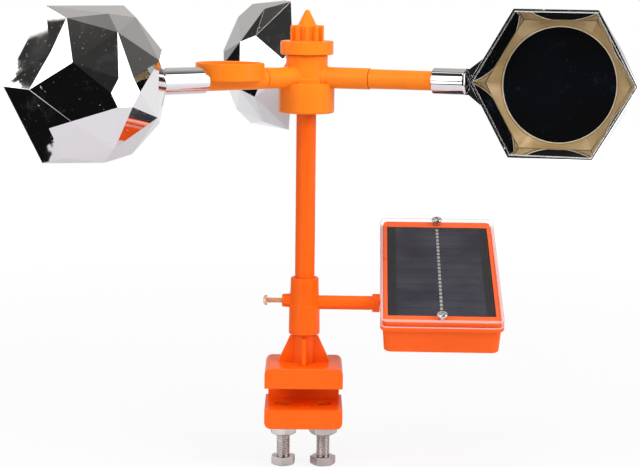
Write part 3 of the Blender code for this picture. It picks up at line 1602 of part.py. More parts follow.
def circle_ring(bm, radius, depth):
    verts = []
    for step in range(MIRROR_STEPS):
        angle = 2 * math.pi * step / MIRROR_STEPS
        place = (radius * math.cos(angle), depth - CUP_FORWARD, radius * math.sin(angle))
        verts.append(bm.verts.new(place))
    return verts


def loft(bm, rings):
    """Bridges neighbouring rings of like counts, and closes the first and the last."""
    for here, ahead in zip(rings, rings[1:]):
        for i in range(len(here)):
            j = (i + 1) % len(here)
            bm.faces.new((here[i], here[j], ahead[j], ahead[i]))
    bm.faces.new(rings[0])
    bm.faces.new(list(reversed(rings[-1])))


def build_insert(name, cup_frame):
    seat = MIRROR_RADIUS + PLAY
    inset = CUP_WALL + 2 * PLAY
    pocket = INSERT_BACK + MIRROR_THICKNESS + PLAY

    def build(bm):
        loft(
            bm,
            [
                circle_ring(bm, seat, pocket),
                circle_ring(bm, seat, INSERT_BACK - SEAT_EDGE / 2),
                circle_ring(bm, seat + SEAT_EDGE, INSERT_BACK - SEAT_EDGE / 2),
                outline_ring(bm, INSERT_DEPTH, inset),
                outline_ring(bm, INSERT_DEPTH + INSERT_WALL, inset),
                circle_ring(bm, seat + INSERT_WALL, pocket),
                circle_ring(bm, seat, pocket + INSERT_WALL),
            ],
        )

    insert = make_object(f"cup_insert_{name}", mesh_from("cup_insert", build), at(), cup_frame)
    finish(insert, "tan_plastic", smooth=False)
    mirror = disc(
        f"mirror_disc_{name}",
        MIRROR_RADIUS,
        -MIRROR_THICKNESS,
        0.0,
        at(y=INSERT_BACK - CUP_FORWARD) @ UPRIGHT_XZ,
        cup_frame,
        steps=MIRROR_STEPS,
        edge=MIRROR_EDGE,
    )
    finish(mirror, "dark_mirror")


def build_rotor():
    rotor_axis = make_empty("rotor_axis", at(z=ARM_HEIGHT))
    build_hub(rotor_axis)
    build_cap(rotor_axis)
    for name, angle in ARM_ANGLE_DEGREES.items():
        turn = Matrix.Rotation(math.radians(angle), 4, "Z")
        arm_frame = make_empty(f"arm_frame_{name}", turn, rotor_axis)
        if name == "left":
            build_dish_arm(name, arm_frame)
        else:
            build_plain_arm(name, arm_frame)
        twist = Matrix.Rotation(math.radians(CUP_TWIST_DEGREES[name]), 4, "X")
        cup_frame = make_empty(f"cup_frame_{name}", at(CUP_DISTANCE[name]) @ twist, arm_frame)
        build_cup_shell(name, cup_frame)
        build_insert(name, cup_frame)


def main():
    build_clamp()
    build_bolts()
    build_pole()
    tee_axis = build_tee()
    frame = box_frame(tee_axis)
    build_lid(frame)
    rim_top, floor, bottom = build_tray(frame)
    build_panel(frame, rim_top)
    build_electrics(frame, floor, bottom)
    build_spindle()
    build_bearing()
    build_rotor()
    bpy.context.view_layer.update()


main()
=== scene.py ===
"""Solar bird repeller: the finished look of each piece, over the fixed model of its solids.

Laid out as an add-on: settings that a user would change, one operator for each group of pieces,
one for the stage, and a panel that lists them.
"""

import json
import math

import bpy
from bpy.props import FloatProperty, FloatVectorProperty, IntProperty, PointerProperty
from mathutils import Matrix, Vector


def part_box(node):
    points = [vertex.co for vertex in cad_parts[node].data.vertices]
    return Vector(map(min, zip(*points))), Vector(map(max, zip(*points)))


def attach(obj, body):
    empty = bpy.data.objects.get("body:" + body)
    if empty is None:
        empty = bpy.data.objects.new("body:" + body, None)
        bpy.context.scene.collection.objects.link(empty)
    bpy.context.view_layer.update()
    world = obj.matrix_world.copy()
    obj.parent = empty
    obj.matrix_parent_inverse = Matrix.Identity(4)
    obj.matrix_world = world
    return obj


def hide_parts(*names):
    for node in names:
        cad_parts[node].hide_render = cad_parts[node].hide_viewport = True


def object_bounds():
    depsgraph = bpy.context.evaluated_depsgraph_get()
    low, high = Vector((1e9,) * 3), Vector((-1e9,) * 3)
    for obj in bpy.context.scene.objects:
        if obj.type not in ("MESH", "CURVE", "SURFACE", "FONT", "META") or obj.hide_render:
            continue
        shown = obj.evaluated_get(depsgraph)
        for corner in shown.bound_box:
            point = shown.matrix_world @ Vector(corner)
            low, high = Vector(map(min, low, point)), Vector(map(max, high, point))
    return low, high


bl_info = {
    "name": "Solar bird repeller",
    "version": (1, 0, 0),
    "blender": (4, 5, 0),
    "location": "3D View > Sidebar > Repeller",
    "description": "Models and finishes the pieces of a wind-turned bird repeller with a solar box",
    "category": "Add Mesh",
}

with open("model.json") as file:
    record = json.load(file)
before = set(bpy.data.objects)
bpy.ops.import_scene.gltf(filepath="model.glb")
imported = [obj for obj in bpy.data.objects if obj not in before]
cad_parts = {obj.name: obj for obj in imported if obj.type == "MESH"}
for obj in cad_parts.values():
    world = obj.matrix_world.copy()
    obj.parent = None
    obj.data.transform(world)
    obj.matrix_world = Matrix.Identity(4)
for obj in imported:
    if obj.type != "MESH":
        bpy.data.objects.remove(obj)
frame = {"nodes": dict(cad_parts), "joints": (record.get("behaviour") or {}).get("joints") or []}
CAD_LOW, CAD_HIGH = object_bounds()
JOINTS = {joint["name"]: joint for joint in frame["joints"]}

# Places that the joints give
ARM_HEIGHT = JOINTS["rotor_spin"]["pos_m"][2]
TEE_AXIS_HEIGHT = JOINTS["tee_swivel"]["pos_m"][2]
TILT_PIVOT = Vector(JOINTS["box_tilt"]["pos_m"])
TILT_AXIS = Vector(JOINTS["box_tilt"]["axis"])
TEE_SWIVEL = math.atan2(TILT_AXIS.y, TILT_AXIS.x)

# Fineness and tolerances
ROUND = 72
FINE = 128
SMALL = 32
WELD = 0.000002
PLAY = 0.0003
OVERRUN = 0.002
SMOOTH = math.radians(38.0)
UPRIGHT = Matrix.Rotation(math.radians(-90.0), 4, "X")
ALONG_X = Matrix.Rotation(math.radians(90.0), 4, "Y")
ALONG_MINUS_X = Matrix.Rotation(math.radians(-90.0), 4, "Y")
FINE_EDGE = 0.0003
SHARP_ANGLE = 40.0
FLAT_ANGLE = math.radians(1.0)
HEXAGON_START = math.radians(30.0)
WHITE = (1.0, 1.0, 1.0)


def box_of(node):
    """The lowest and highest corner of a solid, as read from the frame."""
    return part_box(node)


def middle_of(node):
    low, high = box_of(node)
    return (low + high) / 2


def half_width(node, axis):
    low, high = box_of(node)
    return (high[axis] - low[axis]) / 2


def move(x=0.0, y=0.0, z=0.0):
    return Matrix.Translation((x, y, z))


# Settings
def length_setting(name, text, value):
    return FloatProperty(name=name, description=text, default=value, unit="LENGTH")


def angle_setting(name, text, degrees):
    return FloatProperty(
        name=name, description=text, default=math.radians(degrees), subtype="ANGLE"
    )


def tint_setting(name, text, value):
    return FloatVectorProperty(name=name, description=text, default=value, subtype="COLOR", size=3)


def count_setting(name, text, value):
    return IntProperty(name=name, description=text, default=value, min=2)


class RepellerRotorSettings(bpy.types.PropertyGroup):
    cup_radius: length_setting("Cup radius", "From a cup's middle to a corner of its rim", 0.0443)
    cup_forward: length_setting(
        "Cup forward", "How far a rim stands in front of its arm's line", 0.0012
    )
    cup_wall: length_setting("Cup wall", "Thickness of the plated bowl", 0.0013)
    crease_width: length_setting(
        "Crease width", "Width of the soft edge between two facets", 0.00012
    )
    sleeve_radius: length_setting(
        "Sleeve radius", "Outer radius of the plated sleeve on each arm", 0.00685
    )
    mirror_radius: length_setting(
        "Mirror radius", "Radius of the dark disc in each cup", half_width("mirror_disc_back", 2)
    )
    plastic_tint: tint_setting("Rotor tint", "Colour of the hub, cap and arms", (1.0, 0.235, 0.010))
    chrome_tint: tint_setting("Chrome tint", "Colour of the plating", (0.86, 0.86, 0.87))
    insert_tint: tint_setting("Insert tint", "Colour of the creased inserts", (0.53, 0.355, 0.140))
    disc_tint: tint_setting("Disc tint", "Colour of the dark discs", (0.0040, 0.0042, 0.0047))


class RepellerStandSettings(bpy.types.PropertyGroup):
    bolt_radius: length_setting("Bolt radius", "Crest radius of the clamp bolts", 0.0038)
    bolt_pitch: length_setting("Bolt pitch", "Thread pitch of the clamp bolts", 0.00125)
    screw_pitch: length_setting("Screw pitch", "Thread pitch of the tee's screw", 0.0006)
    edge_round: length_setting("Edge round", "Rounding of the moulded edges", 0.00045)
    plastic_tint: tint_setting(
        "Stand tint", "Colour of the clamp, pole and tee", (1.0, 0.135, 0.004)
    )


class RepellerBoxSettings(bpy.types.PropertyGroup):
    cell_strips: count_setting("Cell strips", "Strips of solar cell across the panel", 12)
    ribbon_dashes: count_setting(
        "Ribbon dashes", "Dashes of the ribbon down the panel's middle", 24
    )
    plastic_tint: tint_setting(
        "Box tint", "Colour of the tray and the panel's frame", (1.0, 0.125, 0.010)
    )
    cell_tint: tint_setting("Cell tint", "Colour of the solar cells", (0.009, 0.010, 0.024))


class RepellerStageSettings(bpy.types.PropertyGroup):
    focal_length: FloatProperty(
        name="Focal length", description="Lens, in millimetres on a 36 mm sensor", default=105.75
    )
    camera_place: FloatVectorProperty(
        name="Camera place", description="Where the camera stands",
        default=(0.0, -1.010, 0.222), subtype="TRANSLATION", size=3,
    )
    camera_pitch: angle_setting("Camera pitch", "How far the camera looks down", 7.9)
    camera_yaw: angle_setting("Camera yaw", "How far the camera turns to the right", 0.457)
    camera_roll: angle_setting("Camera roll", "How far the camera leans", 0.64)


# Modelling by hand's operators
def set_down():
    """Leaves edit mode and selects nothing."""
    if bpy.context.object and bpy.context.object.mode != "OBJECT":
        bpy.ops.object.mode_set(mode="OBJECT")
    bpy.ops.object.select_all(action="DESELECT")


def pick(*objects):
    """Selects these objects alone, the first of them active."""
    set_down()
    for obj in objects:
        obj.select_set(True)
    bpy.context.view_layer.objects.active = objects[0]


def edit(obj):
    """Opens the mesh in edit mode with all of it selected."""
    pick(obj)
    bpy.ops.object.mode_set(mode="EDIT")
    bpy.ops.mesh.select_all(action="SELECT")


def blank(name):
    """An empty mesh at the origin, in edit mode, for shapes to be added to."""
    set_down()
    bpy.ops.mesh.primitive_plane_add(size=OVERRUN)
    obj = bpy.context.object
    obj.name = name
    obj.data.name = name
    edit(obj)
    bpy.ops.mesh.select_mode(type="VERT")
    bpy.ops.mesh.delete(type="VERT")
    return obj


def settle(obj, place=None):
    """Moves the finished shape's mesh to its place; the object itself stays at the origin."""
    pick(obj)
    if place is not None:
        obj.matrix_world = place
    bpy.ops.object.transform_apply(location=True, rotation=True, scale=True)
    return obj


def close_up(obj):
    """Merges doubles and turns the faces outwards, in edit mode."""
    bpy.ops.mesh.select_all(action="SELECT")
    bpy.ops.mesh.remove_doubles(threshold=WELD)
    bpy.ops.mesh.normals_make_consistent(inside=False)
    set_down()
    return obj


def draw_profile(profile):
    """Draws a line of vertices along a profile of (radius, height), in edit mode."""
    bpy.ops.mesh.primitive_plane_add(size=OVERRUN)
    bpy.ops.mesh.merge(type="CENTER")
    here = Vector()
    for index, (radius, height) in enumerate(profile):
        ahead = Vector((radius, 0.0, height))
        if index:
            bpy.ops.mesh.extrude_vertices_move(TRANSFORM_OT_translate={"value": ahead - here})
        else:
            bpy.ops.transform.translate(value=ahead)
        here = ahead


def turn(name, profile, steps=ROUND, place=None):
    """A turned piece: a profile drawn from top to bottom and spun about Z."""
    obj = blank(name)
    draw_profile(profile)
    bpy.ops.mesh.select_all(action="SELECT")
    bpy.ops.mesh.spin(
        steps=steps, angle=2 * math.pi, center=(0.0, 0.0, 0.0), axis=(0.0, 0.0, 1.0)
    )
    close_up(obj)
    return settle(obj, place)


def peg_profile(radius, bottom, top):
    return [(0.0, top), (radius, top), (radius, bottom), (0.0, bottom)]


def ring_profile(inner, outer, bottom, top):
    return [(inner, top), (outer, top), (outer, bottom), (inner, bottom), (inner, top)]


def rounded(points, radius, segments=3):
    """A profile whose inner corners are rounded by an arc of about this radius."""
    result = [points[0]]
    for before, corner, after in zip(points, points[1:], points[2:]):
        corner = Vector(corner)
        back = Vector(before) - corner
        ahead = Vector(after) - corner
        room = min(radius, back.length / 2.1, ahead.length / 2.1)
        start = corner + back.normalized() * room
        stop = corner + ahead.normalized() * room
        for step in range(segments + 1):
            share = step / segments
            result.append(tuple(start.lerp(corner, share).lerp(corner.lerp(stop, share), share)))
    result.append(points[-1])
    return result


def modify(obj, kind, **values):
    """Adds a modifier with these settings."""
    modifier = obj.modifiers.new(kind.title(), kind)
    for key, value in values.items():
        setattr(modifier, key, value)


def apply_all(obj):
    pick(obj)
    for modifier in list(obj.modifiers):
        bpy.ops.object.modifier_apply(modifier=modifier.name)
    return obj


def carve(target, *tools, operation="DIFFERENCE"):
    """Cuts the tools from the target or joins them on, and clears what splinters this leaves."""
    for tool in tools:
        modify(target, "BOOLEAN", operation=operation, solver="EXACT", object=tool)
    apply_all(target)
    for tool in tools:
        bpy.data.objects.remove(tool, do_unlink=True)
    edit(target)
    bpy.ops.mesh.remove_doubles(threshold=WELD)
    bpy.ops.mesh.dissolve_degenerate(threshold=WELD)
    bpy.ops.mesh.delete_loose()
    bpy.ops.mesh.select_all(action="SELECT")
    bpy.ops.mesh.normals_make_consistent(inside=False)
    set_down()
    return target


def soften(obj, width, segments=2, angle=SHARP_ANGLE):
    """Rounds the edges sharper than an angle and gives flat faces even shading."""
    modify(
        obj, "BEVEL", width=width, segments=segments, limit_method="ANGLE",
        angle_limit=math.radians(angle), use_clamp_overlap=True, miter_outer="MITER_ARC",
    )
    return shade(apply_all(obj))


def thicken(obj, thickness):
    """Gives an open shape its wall, which stays on the inner side."""
    modify(obj, "SOLIDIFY", thickness=thickness, offset=-1.0, use_even_offset=True)


def crease(obj, width, angle):
    """Gives the folds between facets a narrow soft edge."""
    modify(
        obj, "BEVEL", width=width, segments=2, limit_method="ANGLE",
        angle_limit=math.radians(angle),
    )


def shade(obj, angle=SMOOTH):
    """Shades the round faces smooth and keeps the flat ones flat."""
    pick(obj)
    bpy.ops.object.shade_smooth_by_angle(angle=angle)
    modify(obj, "WEIGHTED_NORMAL", keep_sharp=True, weight=100)
    return apply_all(obj)


def copy_of(name, node):
    """A merged copy of a solid whose shape is right, for finishing."""
    pick(frame["nodes"][node])
    bpy.ops.object.duplicate()
    obj = bpy.context.object
    obj.parent = None
    for key in list(obj.keys()):
        del obj[key]
    obj.name = name
    obj.data.name = name
    obj.data.materials.clear()
    edit(obj)
    bpy.ops.mesh.remove_doubles(threshold=WELD * 5)
    bpy.ops.mesh.dissolve_limited(angle_limit=FLAT_ANGLE)
    set_down()
    return settle(obj)


def join_shells(name, *shapes):
    pick(*shapes)
    bpy.ops.object.join()
    obj = bpy.context.object
    obj.name = name
    obj.data.name = name
    return obj


def fit(obj, body, slot, material, *nodes):
    """Puts a finished piece on its body, in the place of the solids that it stands for."""
    obj.data.materials.clear()
    obj.data.materials.append(material)
    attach(obj, body)
    if nodes:
        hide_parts(*nodes)


def choose(obj, kind, wanted):
    """Selects, in edit mode, the edges or faces that pass a test."""
    bpy.ops.mesh.select_mode(type=kind)
    bpy.ops.mesh.select_all(action="DESELECT")
    bpy.ops.object.mode_set(mode="OBJECT")
    for part in obj.data.edges if kind == "EDGE" else obj.data.polygons:
        part.select = wanted(part)
    bpy.ops.object.mode_set(mode="EDIT")


def choose_edges(obj, wanted):
    """Selects, in edit mode, the edges whose two ends pass a test."""
    verts = obj.data.vertices
    choose(obj, "EDGE", lambda edge: wanted(*(verts[index].co for index in edge.vertices)))


def add_ring(radius, depth, sides=6, start=HEXAGON_START):
    """Adds a ring of points about Z to the mesh in edit mode."""
    bpy.ops.mesh.primitive_circle_add(
        vertices=sides, radius=radius, location=(0.0, 0.0, depth), rotation=(0.0, 0.0, start)
    )


# Shader recipes
class Wire:
    """One output of a shader node; arithmetic on it adds Math nodes."""

    def __init__(self, recipe, socket):
        self.recipe = recipe
        self.socket = socket

    def math(self, operation, *others):
        return self.recipe.node("ShaderNodeMath", operation=operation, values=(self, *others))

    def __add__(self, other):
        return self.math("ADD", other)

    __radd__ = __add__

    def __sub__(self, other):
        return self.math("SUBTRACT", other)

    def __rsub__(self, other):
        return self.recipe.node("ShaderNodeMath", operation="SUBTRACT", values=(other, self))

    def __mul__(self, other):
        return self.math("MULTIPLY", other)

    __rmul__ = __mul__

    def __truediv__(self, other):
        return self.math("DIVIDE", other)

    def above(self, edge):
        return self.math("GREATER_THAN", edge)

    def below(self, edge):
        return self.math("LESS_THAN", edge)

    def fraction(self):
        return self.math("FRACT")

    def size(self):
        return self.math("ABSOLUTE")

    def smooth(self, low, high):
        """0 below low, 1 above high and an even slope between."""
        return self.recipe.node(
            "ShaderNodeMapRange", clamp=True,
            values={"Value": self, "From Min": low, "From Max": high},
        )


class Recipe:
    """A material or world in the making, with one method that adds its nodes."""

    def __init__(self, owner):
        if isinstance(owner, str):
            owner = bpy.data.materials.new(owner)
            owner.use_nodes = True
        self.material = owner
        self.tree = owner.node_tree
        self.shader = self.tree.nodes.get("Principled BSDF")
        place = "Object" if self.shader else "Generated"
        self.place = self.node("ShaderNodeTexCoord", output=place)

    def feed(self, socket, value):
        if isinstance(value, Wire):
            self.tree.links.new(value.socket, socket)
        elif socket.type == "RGBA" and len(value) == 3:
            socket.default_value = (*value, 1.0)
        else:
            socket.default_value = value

    def node(self, kind, output=0, values=(), stops=(), **settings):
        """Adds a node: its settings, then a ramp's stops, then its sockets' values or links."""
        made = self.tree.nodes.new(kind)
        for key, setting in settings.items():
            setattr(made, key, setting)
        if stops:
            elements = made.color_ramp.elements
            while len(elements) < len(stops):
                elements.new(0.5)
            for element, (position, colour) in zip(elements, stops):
                element.position = position
                element.color = (*colour, 1.0)
        pairs = values.items() if isinstance(values, dict) else enumerate(values)
        for key, value in pairs:
            self.feed(made.inputs[key], value)
        return Wire(self, made.outputs[output]) if made.outputs else None

    def noise(self, scale, detail=2.0, roughness=0.5, place=None):
        return self.node(
            "ShaderNodeTexNoise", output="Fac",
            values={"Vector": place or self.place, "Scale": scale, "Detail": detail,
                    "Roughness": roughness},
        )

    def blend(self, share, first, second):
        """A colour between two, by a share: sockets 0, 6 and 7 are a Mix node's colour ones."""
        return self.node(
            "ShaderNodeMix", output=2, data_type="RGBA", values={0: share, 6: first, 7: second}
        )

    def bump(self, height, strength, distance):
        return self.node(
            "ShaderNodeBump",
            values={"Strength": strength, "Distance": distance, "Height": height},
        )

    def turned_place(self, matrix):
        """Coordinates in a piece's own frame, for patterns on a piece that stands at a slant."""
        return self.node(
            "ShaderNodeMapping", vector_type="TEXTURE",
            values={"Vector": self.place, "Location": matrix.translation,
                    "Rotation": matrix.to_euler()},
        )

    def parts_of(self, vector):
        first = self.node("ShaderNodeSeparateXYZ", values=(vector,))
        return [Wire(self, output) for output in first.socket.node.outputs]

    def rays(self):
        """1 where a ray comes from the camera, straight or through something, and from a mirror."""
        camera, through, glossy = (
            self.node("ShaderNodeLightPath", output=f"Is {kind} Ray")
            for kind in ("Camera", "Transmission", "Glossy")
        )
        return camera.math("MAXIMUM", through), glossy

    def set(self, **values):
        """Sets or links the shader's sockets, named with underscores, and gives the material."""
        for key, value in values.items():
            self.feed(self.shader.inputs[key.replace("_", " ")], value)
        return self.material


def lighter(colour, share):
    return tuple(c + (1.0 - c) * share for c in colour)


def darker(colour, share):
    return tuple(c * (1.0 - share) for c in colour)


def moulded_plastic(name, tint):
    """Glossy moulded plastic with faint flow marks, a fine skin and a little rubbed variation."""
    recipe = Recipe(name)
    flow = recipe.noise(28.0, detail=3.0)
    skin = recipe.noise(2600.0, detail=1.0)
    rub = recipe.noise(190.0, detail=4.0, roughness=0.62)
    colour = recipe.blend(flow.smooth(0.3, 0.7), darker(tint, 0.10), tint)
    return recipe.set(
        Base_Color=colour,
        Roughness=rub.smooth(0.25, 0.75) * 0.10 + 0.25,
        Normal=recipe.bump(skin + rub * 0.6, 0.10, 0.00012),
        Specular_IOR_Level=0.17,
        Coat_Weight=0.035,
        Coat_Roughness=0.12,
        IOR=1.49,
    )


def plated_chrome(tint):
    """Vacuum plated chrome with faint smears and a few specks of dust."""
    recipe = Recipe("plated_chrome")
    smear = recipe.noise(60.0, detail=4.0, roughness=0.6)
    streak = recipe.noise(34.0, detail=5.0, roughness=0.7).smooth(0.56, 0.78)
    specks = recipe.noise(1000.0, detail=0.0).smooth(0.795, 0.815)
    wave = recipe.noise(42.0, detail=1.0)
    colour = recipe.blend(specks * 0.25, tint, (0.80, 0.79, 0.77))
    return recipe.set(
        Base_Color=colour,
        Metallic=1.0 - streak * 0.05 - specks * 0.06,
        Roughness=smear.smooth(0.35, 0.8) * 0.04 + specks * 0.2 + 0.010,
        Normal=recipe.bump(wave, 0.025, 0.0006),
    )


def satin_insert(tint):
    """Satin tan plastic with a mottled sheen."""
    recipe = Recipe("satin_tan_plastic")
    cloud = recipe.noise(70.0, detail=4.0, roughness=0.6)
    grain = recipe.noise(1500.0, detail=2.0)
    colour = recipe.blend(cloud.smooth(0.3, 0.72), darker(tint, 0.20), lighter(tint, 0.12))
    return recipe.set(
        Base_Color=colour,
        Roughness=cloud * 0.18 + 0.22,
        Metallic=0.25,
        Normal=recipe.bump(grain, 0.12, 0.0001),
        Specular_IOR_Level=0.35,
        Coat_Weight=0.10,
        Coat_Roughness=0.15,
    )


def dark_disc(tint):
    """Near-black glossy disc with painted bluish reflections."""
    recipe = Recipe("dark_mirror_disc")
    painted_reflection_mask = recipe.noise(34.0, detail=3.0)
    dust = recipe.noise(1100.0, detail=0.0).above(0.81)
    streak = recipe.noise(75.0, detail=6.0, roughness=0.72).smooth(0.55, 0.72)
    # The bluish blotches and streaks blended into the colour are painted reflections; the same mask
    # varies the roughness a little.
    colour = recipe.blend(painted_reflection_mask.smooth(0.48, 0.72), tint, (0.003, 0.005, 0.008))
    colour = recipe.blend(streak * painted_reflection_mask.smooth(0.52, 0.66), colour, (0.012, 0.030, 0.050))
    colour = recipe.blend(dust * 0.06, colour, (0.25, 0.26, 0.28))
    return recipe.set(
        Base_Color=colour,
        Roughness=painted_reflection_mask * 0.05 + dust * 0.2 + 0.03,
        Specular_IOR_Level=0.035,
        IOR=1.52,
    )


def plated_steel(name, tint, roughness, metallic=1.0):
    """Plated steel with fine drawn marks and a dull, uneven plating."""
    recipe = Recipe(name)
    marks = recipe.noise(420.0, detail=5.0, roughness=0.65)
    cloud = recipe.noise(130.0, detail=3.0)
    colour = recipe.blend(cloud.smooth(0.3, 0.7), darker(tint, 0.18), lighter(tint, 0.10))
    return recipe.set(
        Base_Color=colour,
        Metallic=metallic,
        Roughness=marks * 0.16 + (roughness - 0.06),
        Normal=recipe.bump(marks, 0.10, 0.00008),
    )


def clear_cover(place, size, wall):
    """Clear plastic: nearly unseen flat on; painted dark shade at a slant, painted pale highlight
    on its wall edges.
    """
    recipe = Recipe("clear_plastic")
    across, along, up = recipe.parts_of(recipe.turned_place(place))
    slant = recipe.node("ShaderNodeLayerWeight", output="Facing", values={"Blend": 0.35})
    haze = recipe.noise(90.0, detail=3.0)
    rim = (across.size() - (size[0] / 2 - wall)).math(
        "MAXIMUM", along.size() - (size[1] / 2 - wall)
    ).above(0.0)
    upper = up.smooth(-0.0011, -0.0004)
    lower = 1.0 - up.smooth(-size[2] + 0.0003, -size[2] + 0.0008)
    # The opacity shows the painted colour: dark at a slant and pale along the top and bottom rims
    # of the walls.
    painted_edge_opacity = slant.smooth(0.50, 0.90) * 0.80 + rim * (upper + lower) * 0.30
    pale = recipe.blend(haze, (0.96, 0.86, 0.84), (0.98, 0.92, 0.90))
    recipe.material.surface_render_method = "BLENDED"
    return recipe.set(
        # Painted shade and highlight: the colour turns dark grey where the faces turn from the
        # camera and stays pale where they face it.
        Base_Color=recipe.blend(slant.smooth(0.50, 0.75), pale, (0.15, 0.10, 0.095)),
        Roughness=haze * 0.05 + 0.05,
        Alpha=painted_edge_opacity + haze * 0.008 + 0.004,
        Specular_IOR_Level=0.4,
        IOR=1.49,
    )


def cell_sheet(tint, place, strips, width, length):
    """Strips of dark solar cell under resin, with fine fingers, seams and plain side margins."""
    recipe = Recipe("solar_cell_sheet")
    across, along, _ = recipe.parts_of(recipe.turned_place(place))
    step = (along / (length / strips)).fraction()
    seam = (step - 0.5).size().smooth(0.44, 0.485)
    finger = ((along / 0.00095).fraction() - 0.5).size().smooth(0.40, 0.47)
    margin = across.size().smooth(width * 0.5 - 0.0049, width * 0.5 - 0.0044)
    grain = recipe.noise(700.0, detail=3.0)
    tone = recipe.noise(46.0, detail=2.0)
    cell = recipe.blend(tone.smooth(0.3, 0.7), darker(tint, 0.25), lighter(tint, 0.025))
    cell = recipe.blend(finger * 0.16, cell, (0.10, 0.10, 0.13))
    cell = recipe.blend(grain.smooth(0.62, 0.78) * 0.22, cell, (0.09, 0.09, 0.13))
    cell = recipe.blend(seam * 0.85, cell, (0.006, 0.006, 0.010))
    cell = recipe.blend(margin, cell, (0.009, 0.009, 0.012))
    return recipe.set(
        Base_Color=cell,
        Roughness=grain * 0.15 + 0.28,
        Specular_IOR_Level=0.12,
        Coat_Weight=0.02,
        Coat_Roughness=0.10,
    )


def plain_part(name, tint, roughness, metallic):
    """A hidden piece's finish: its own tint, gently mottled."""
    recipe = Recipe(name)
    cloud = recipe.noise(300.0, detail=3.0)
    return recipe.set(
        Base_Color=recipe.blend(cloud, darker(tint, 0.2), lighter(tint, 0.06)),
        Roughness=cloud * 0.12 + (roughness - 0.06),
        Metallic=metallic,
        Normal=recipe.bump(cloud, 0.08, 0.0001),
    )


def board_lacquer():
    """Green board lacquer with pale tracks."""
    recipe = Recipe("board_lacquer")
    lanes = recipe.node(
        "ShaderNodeTexBrick", output="Fac",
        values={"Vector": recipe.place, "Scale": 260.0, "Mortar Size": 0.03},
    )
    return recipe.set(
        Base_Color=recipe.blend(lanes, (0.010, 0.110, 0.045), (0.05, 0.22, 0.10)),
        Roughness=0.35,
        Coat_Weight=0.3,
    )


# Clamp, pole and bolts
CLAMP_CORNER_ANGLE = 24.0
POLE_EDGE = 0.0004
POLE_BORE = 0.00425
BOLT_HEAD = 0.0047
BOLT_FLATS = 0.0122
BOLT_TURN = {"left": 24.0, "right": 6.0}
NUT_FLATS = 0.0134
NUT_FACE_RADIUS = 0.0052
HEX_CHAMFER = 0.0007
WASHER_EDGE = 0.0002
HEAD_EDGE = 0.00012
NUT_EDGE = 0.00010
NUT_FACE_WIDER = 0.0008
CHAMFER_SLOPE = 0.58
HEX_TURN = 30.0
THREAD_DEPTH = 0.62
TOOTH_CUT = 0.12
TOOTH_TOP = (0.42, 0.58)
THREAD_RUN_IN = 0.4


def hexagon_head(name, flats, bottom, top, turn_degrees, face_radius):
    """A six-sided head or nut whose lower corners are turned away to a cone."""
    corner = flats / math.sqrt(3)
    wide = corner + OVERRUN
    head = blank(name)
    bpy.ops.mesh.primitive_cylinder_add(
        vertices=6, radius=corner, depth=top - bottom, location=(0.0, 0.0, (top + bottom) / 2),
        rotation=(0.0, 0.0, math.radians(turn_degrees)),
    )
    close_up(head)
    profile = [
        (0.0, top + OVERRUN), (wide, top + OVERRUN),
        (wide, bottom + CHAMFER_SLOPE * (wide - face_radius)), (face_radius, bottom), (0.0, bottom),
    ]
    return carve(head, turn(f"{name}_blank", profile, steps=FINE), operation="INTERSECT")


def thread(name, crest, pitch, bottom, top, steps=SMALL):
    """A screw thread: one tooth wound up along Z and closed at its ends, and a core inside it."""
    depth = pitch * THREAD_DEPTH
    near = WELD * 5
    obj = blank(name)
    draw_profile(
        [(crest - depth, bottom)]
        + [(crest - depth * TOOTH_CUT, bottom + pitch * share) for share in TOOTH_TOP]
        + [(crest - depth, bottom + pitch)]
    )
    set_down()
    turns = max(1, int((top - bottom) / pitch) - 1)
    modify(
        obj, "SCREW", steps=steps, render_steps=steps, screw_offset=pitch, iterations=turns,
        use_merge_vertices=True, merge_threshold=near,
    )
    apply_all(obj)
    edit(obj)
    bpy.ops.mesh.remove_doubles(threshold=near)
    for low in (bottom, bottom + turns * pitch):
        choose_edges(
            obj,
            lambda *ends: all(
                abs(end.y) < near < end.x and low - near < end.z < low + pitch + near
                for end in ends
            ),
        )
        bpy.ops.mesh.edge_face_add()
    bpy.ops.mesh.select_mode(type="VERT")
    bpy.ops.mesh.select_all(action="SELECT")
    bpy.ops.mesh.fill_holes(sides=0)
    close_up(obj)
    core_radius = crest - depth * 0.5
    root_radius = crest - depth * 1.1
    shoulder = top - pitch
    core = turn(
        f"{name}_core",
        rounded(
            [(0.0, top), (core_radius - pitch * 0.3, top), (core_radius, top - pitch * 0.5),
             (core_radius, shoulder), (root_radius, shoulder), (root_radius, bottom),
             (0.0, bottom)],
            pitch * 0.1,
        ),
        steps=steps,
    )
    return shade(join_shells(name, obj, core))


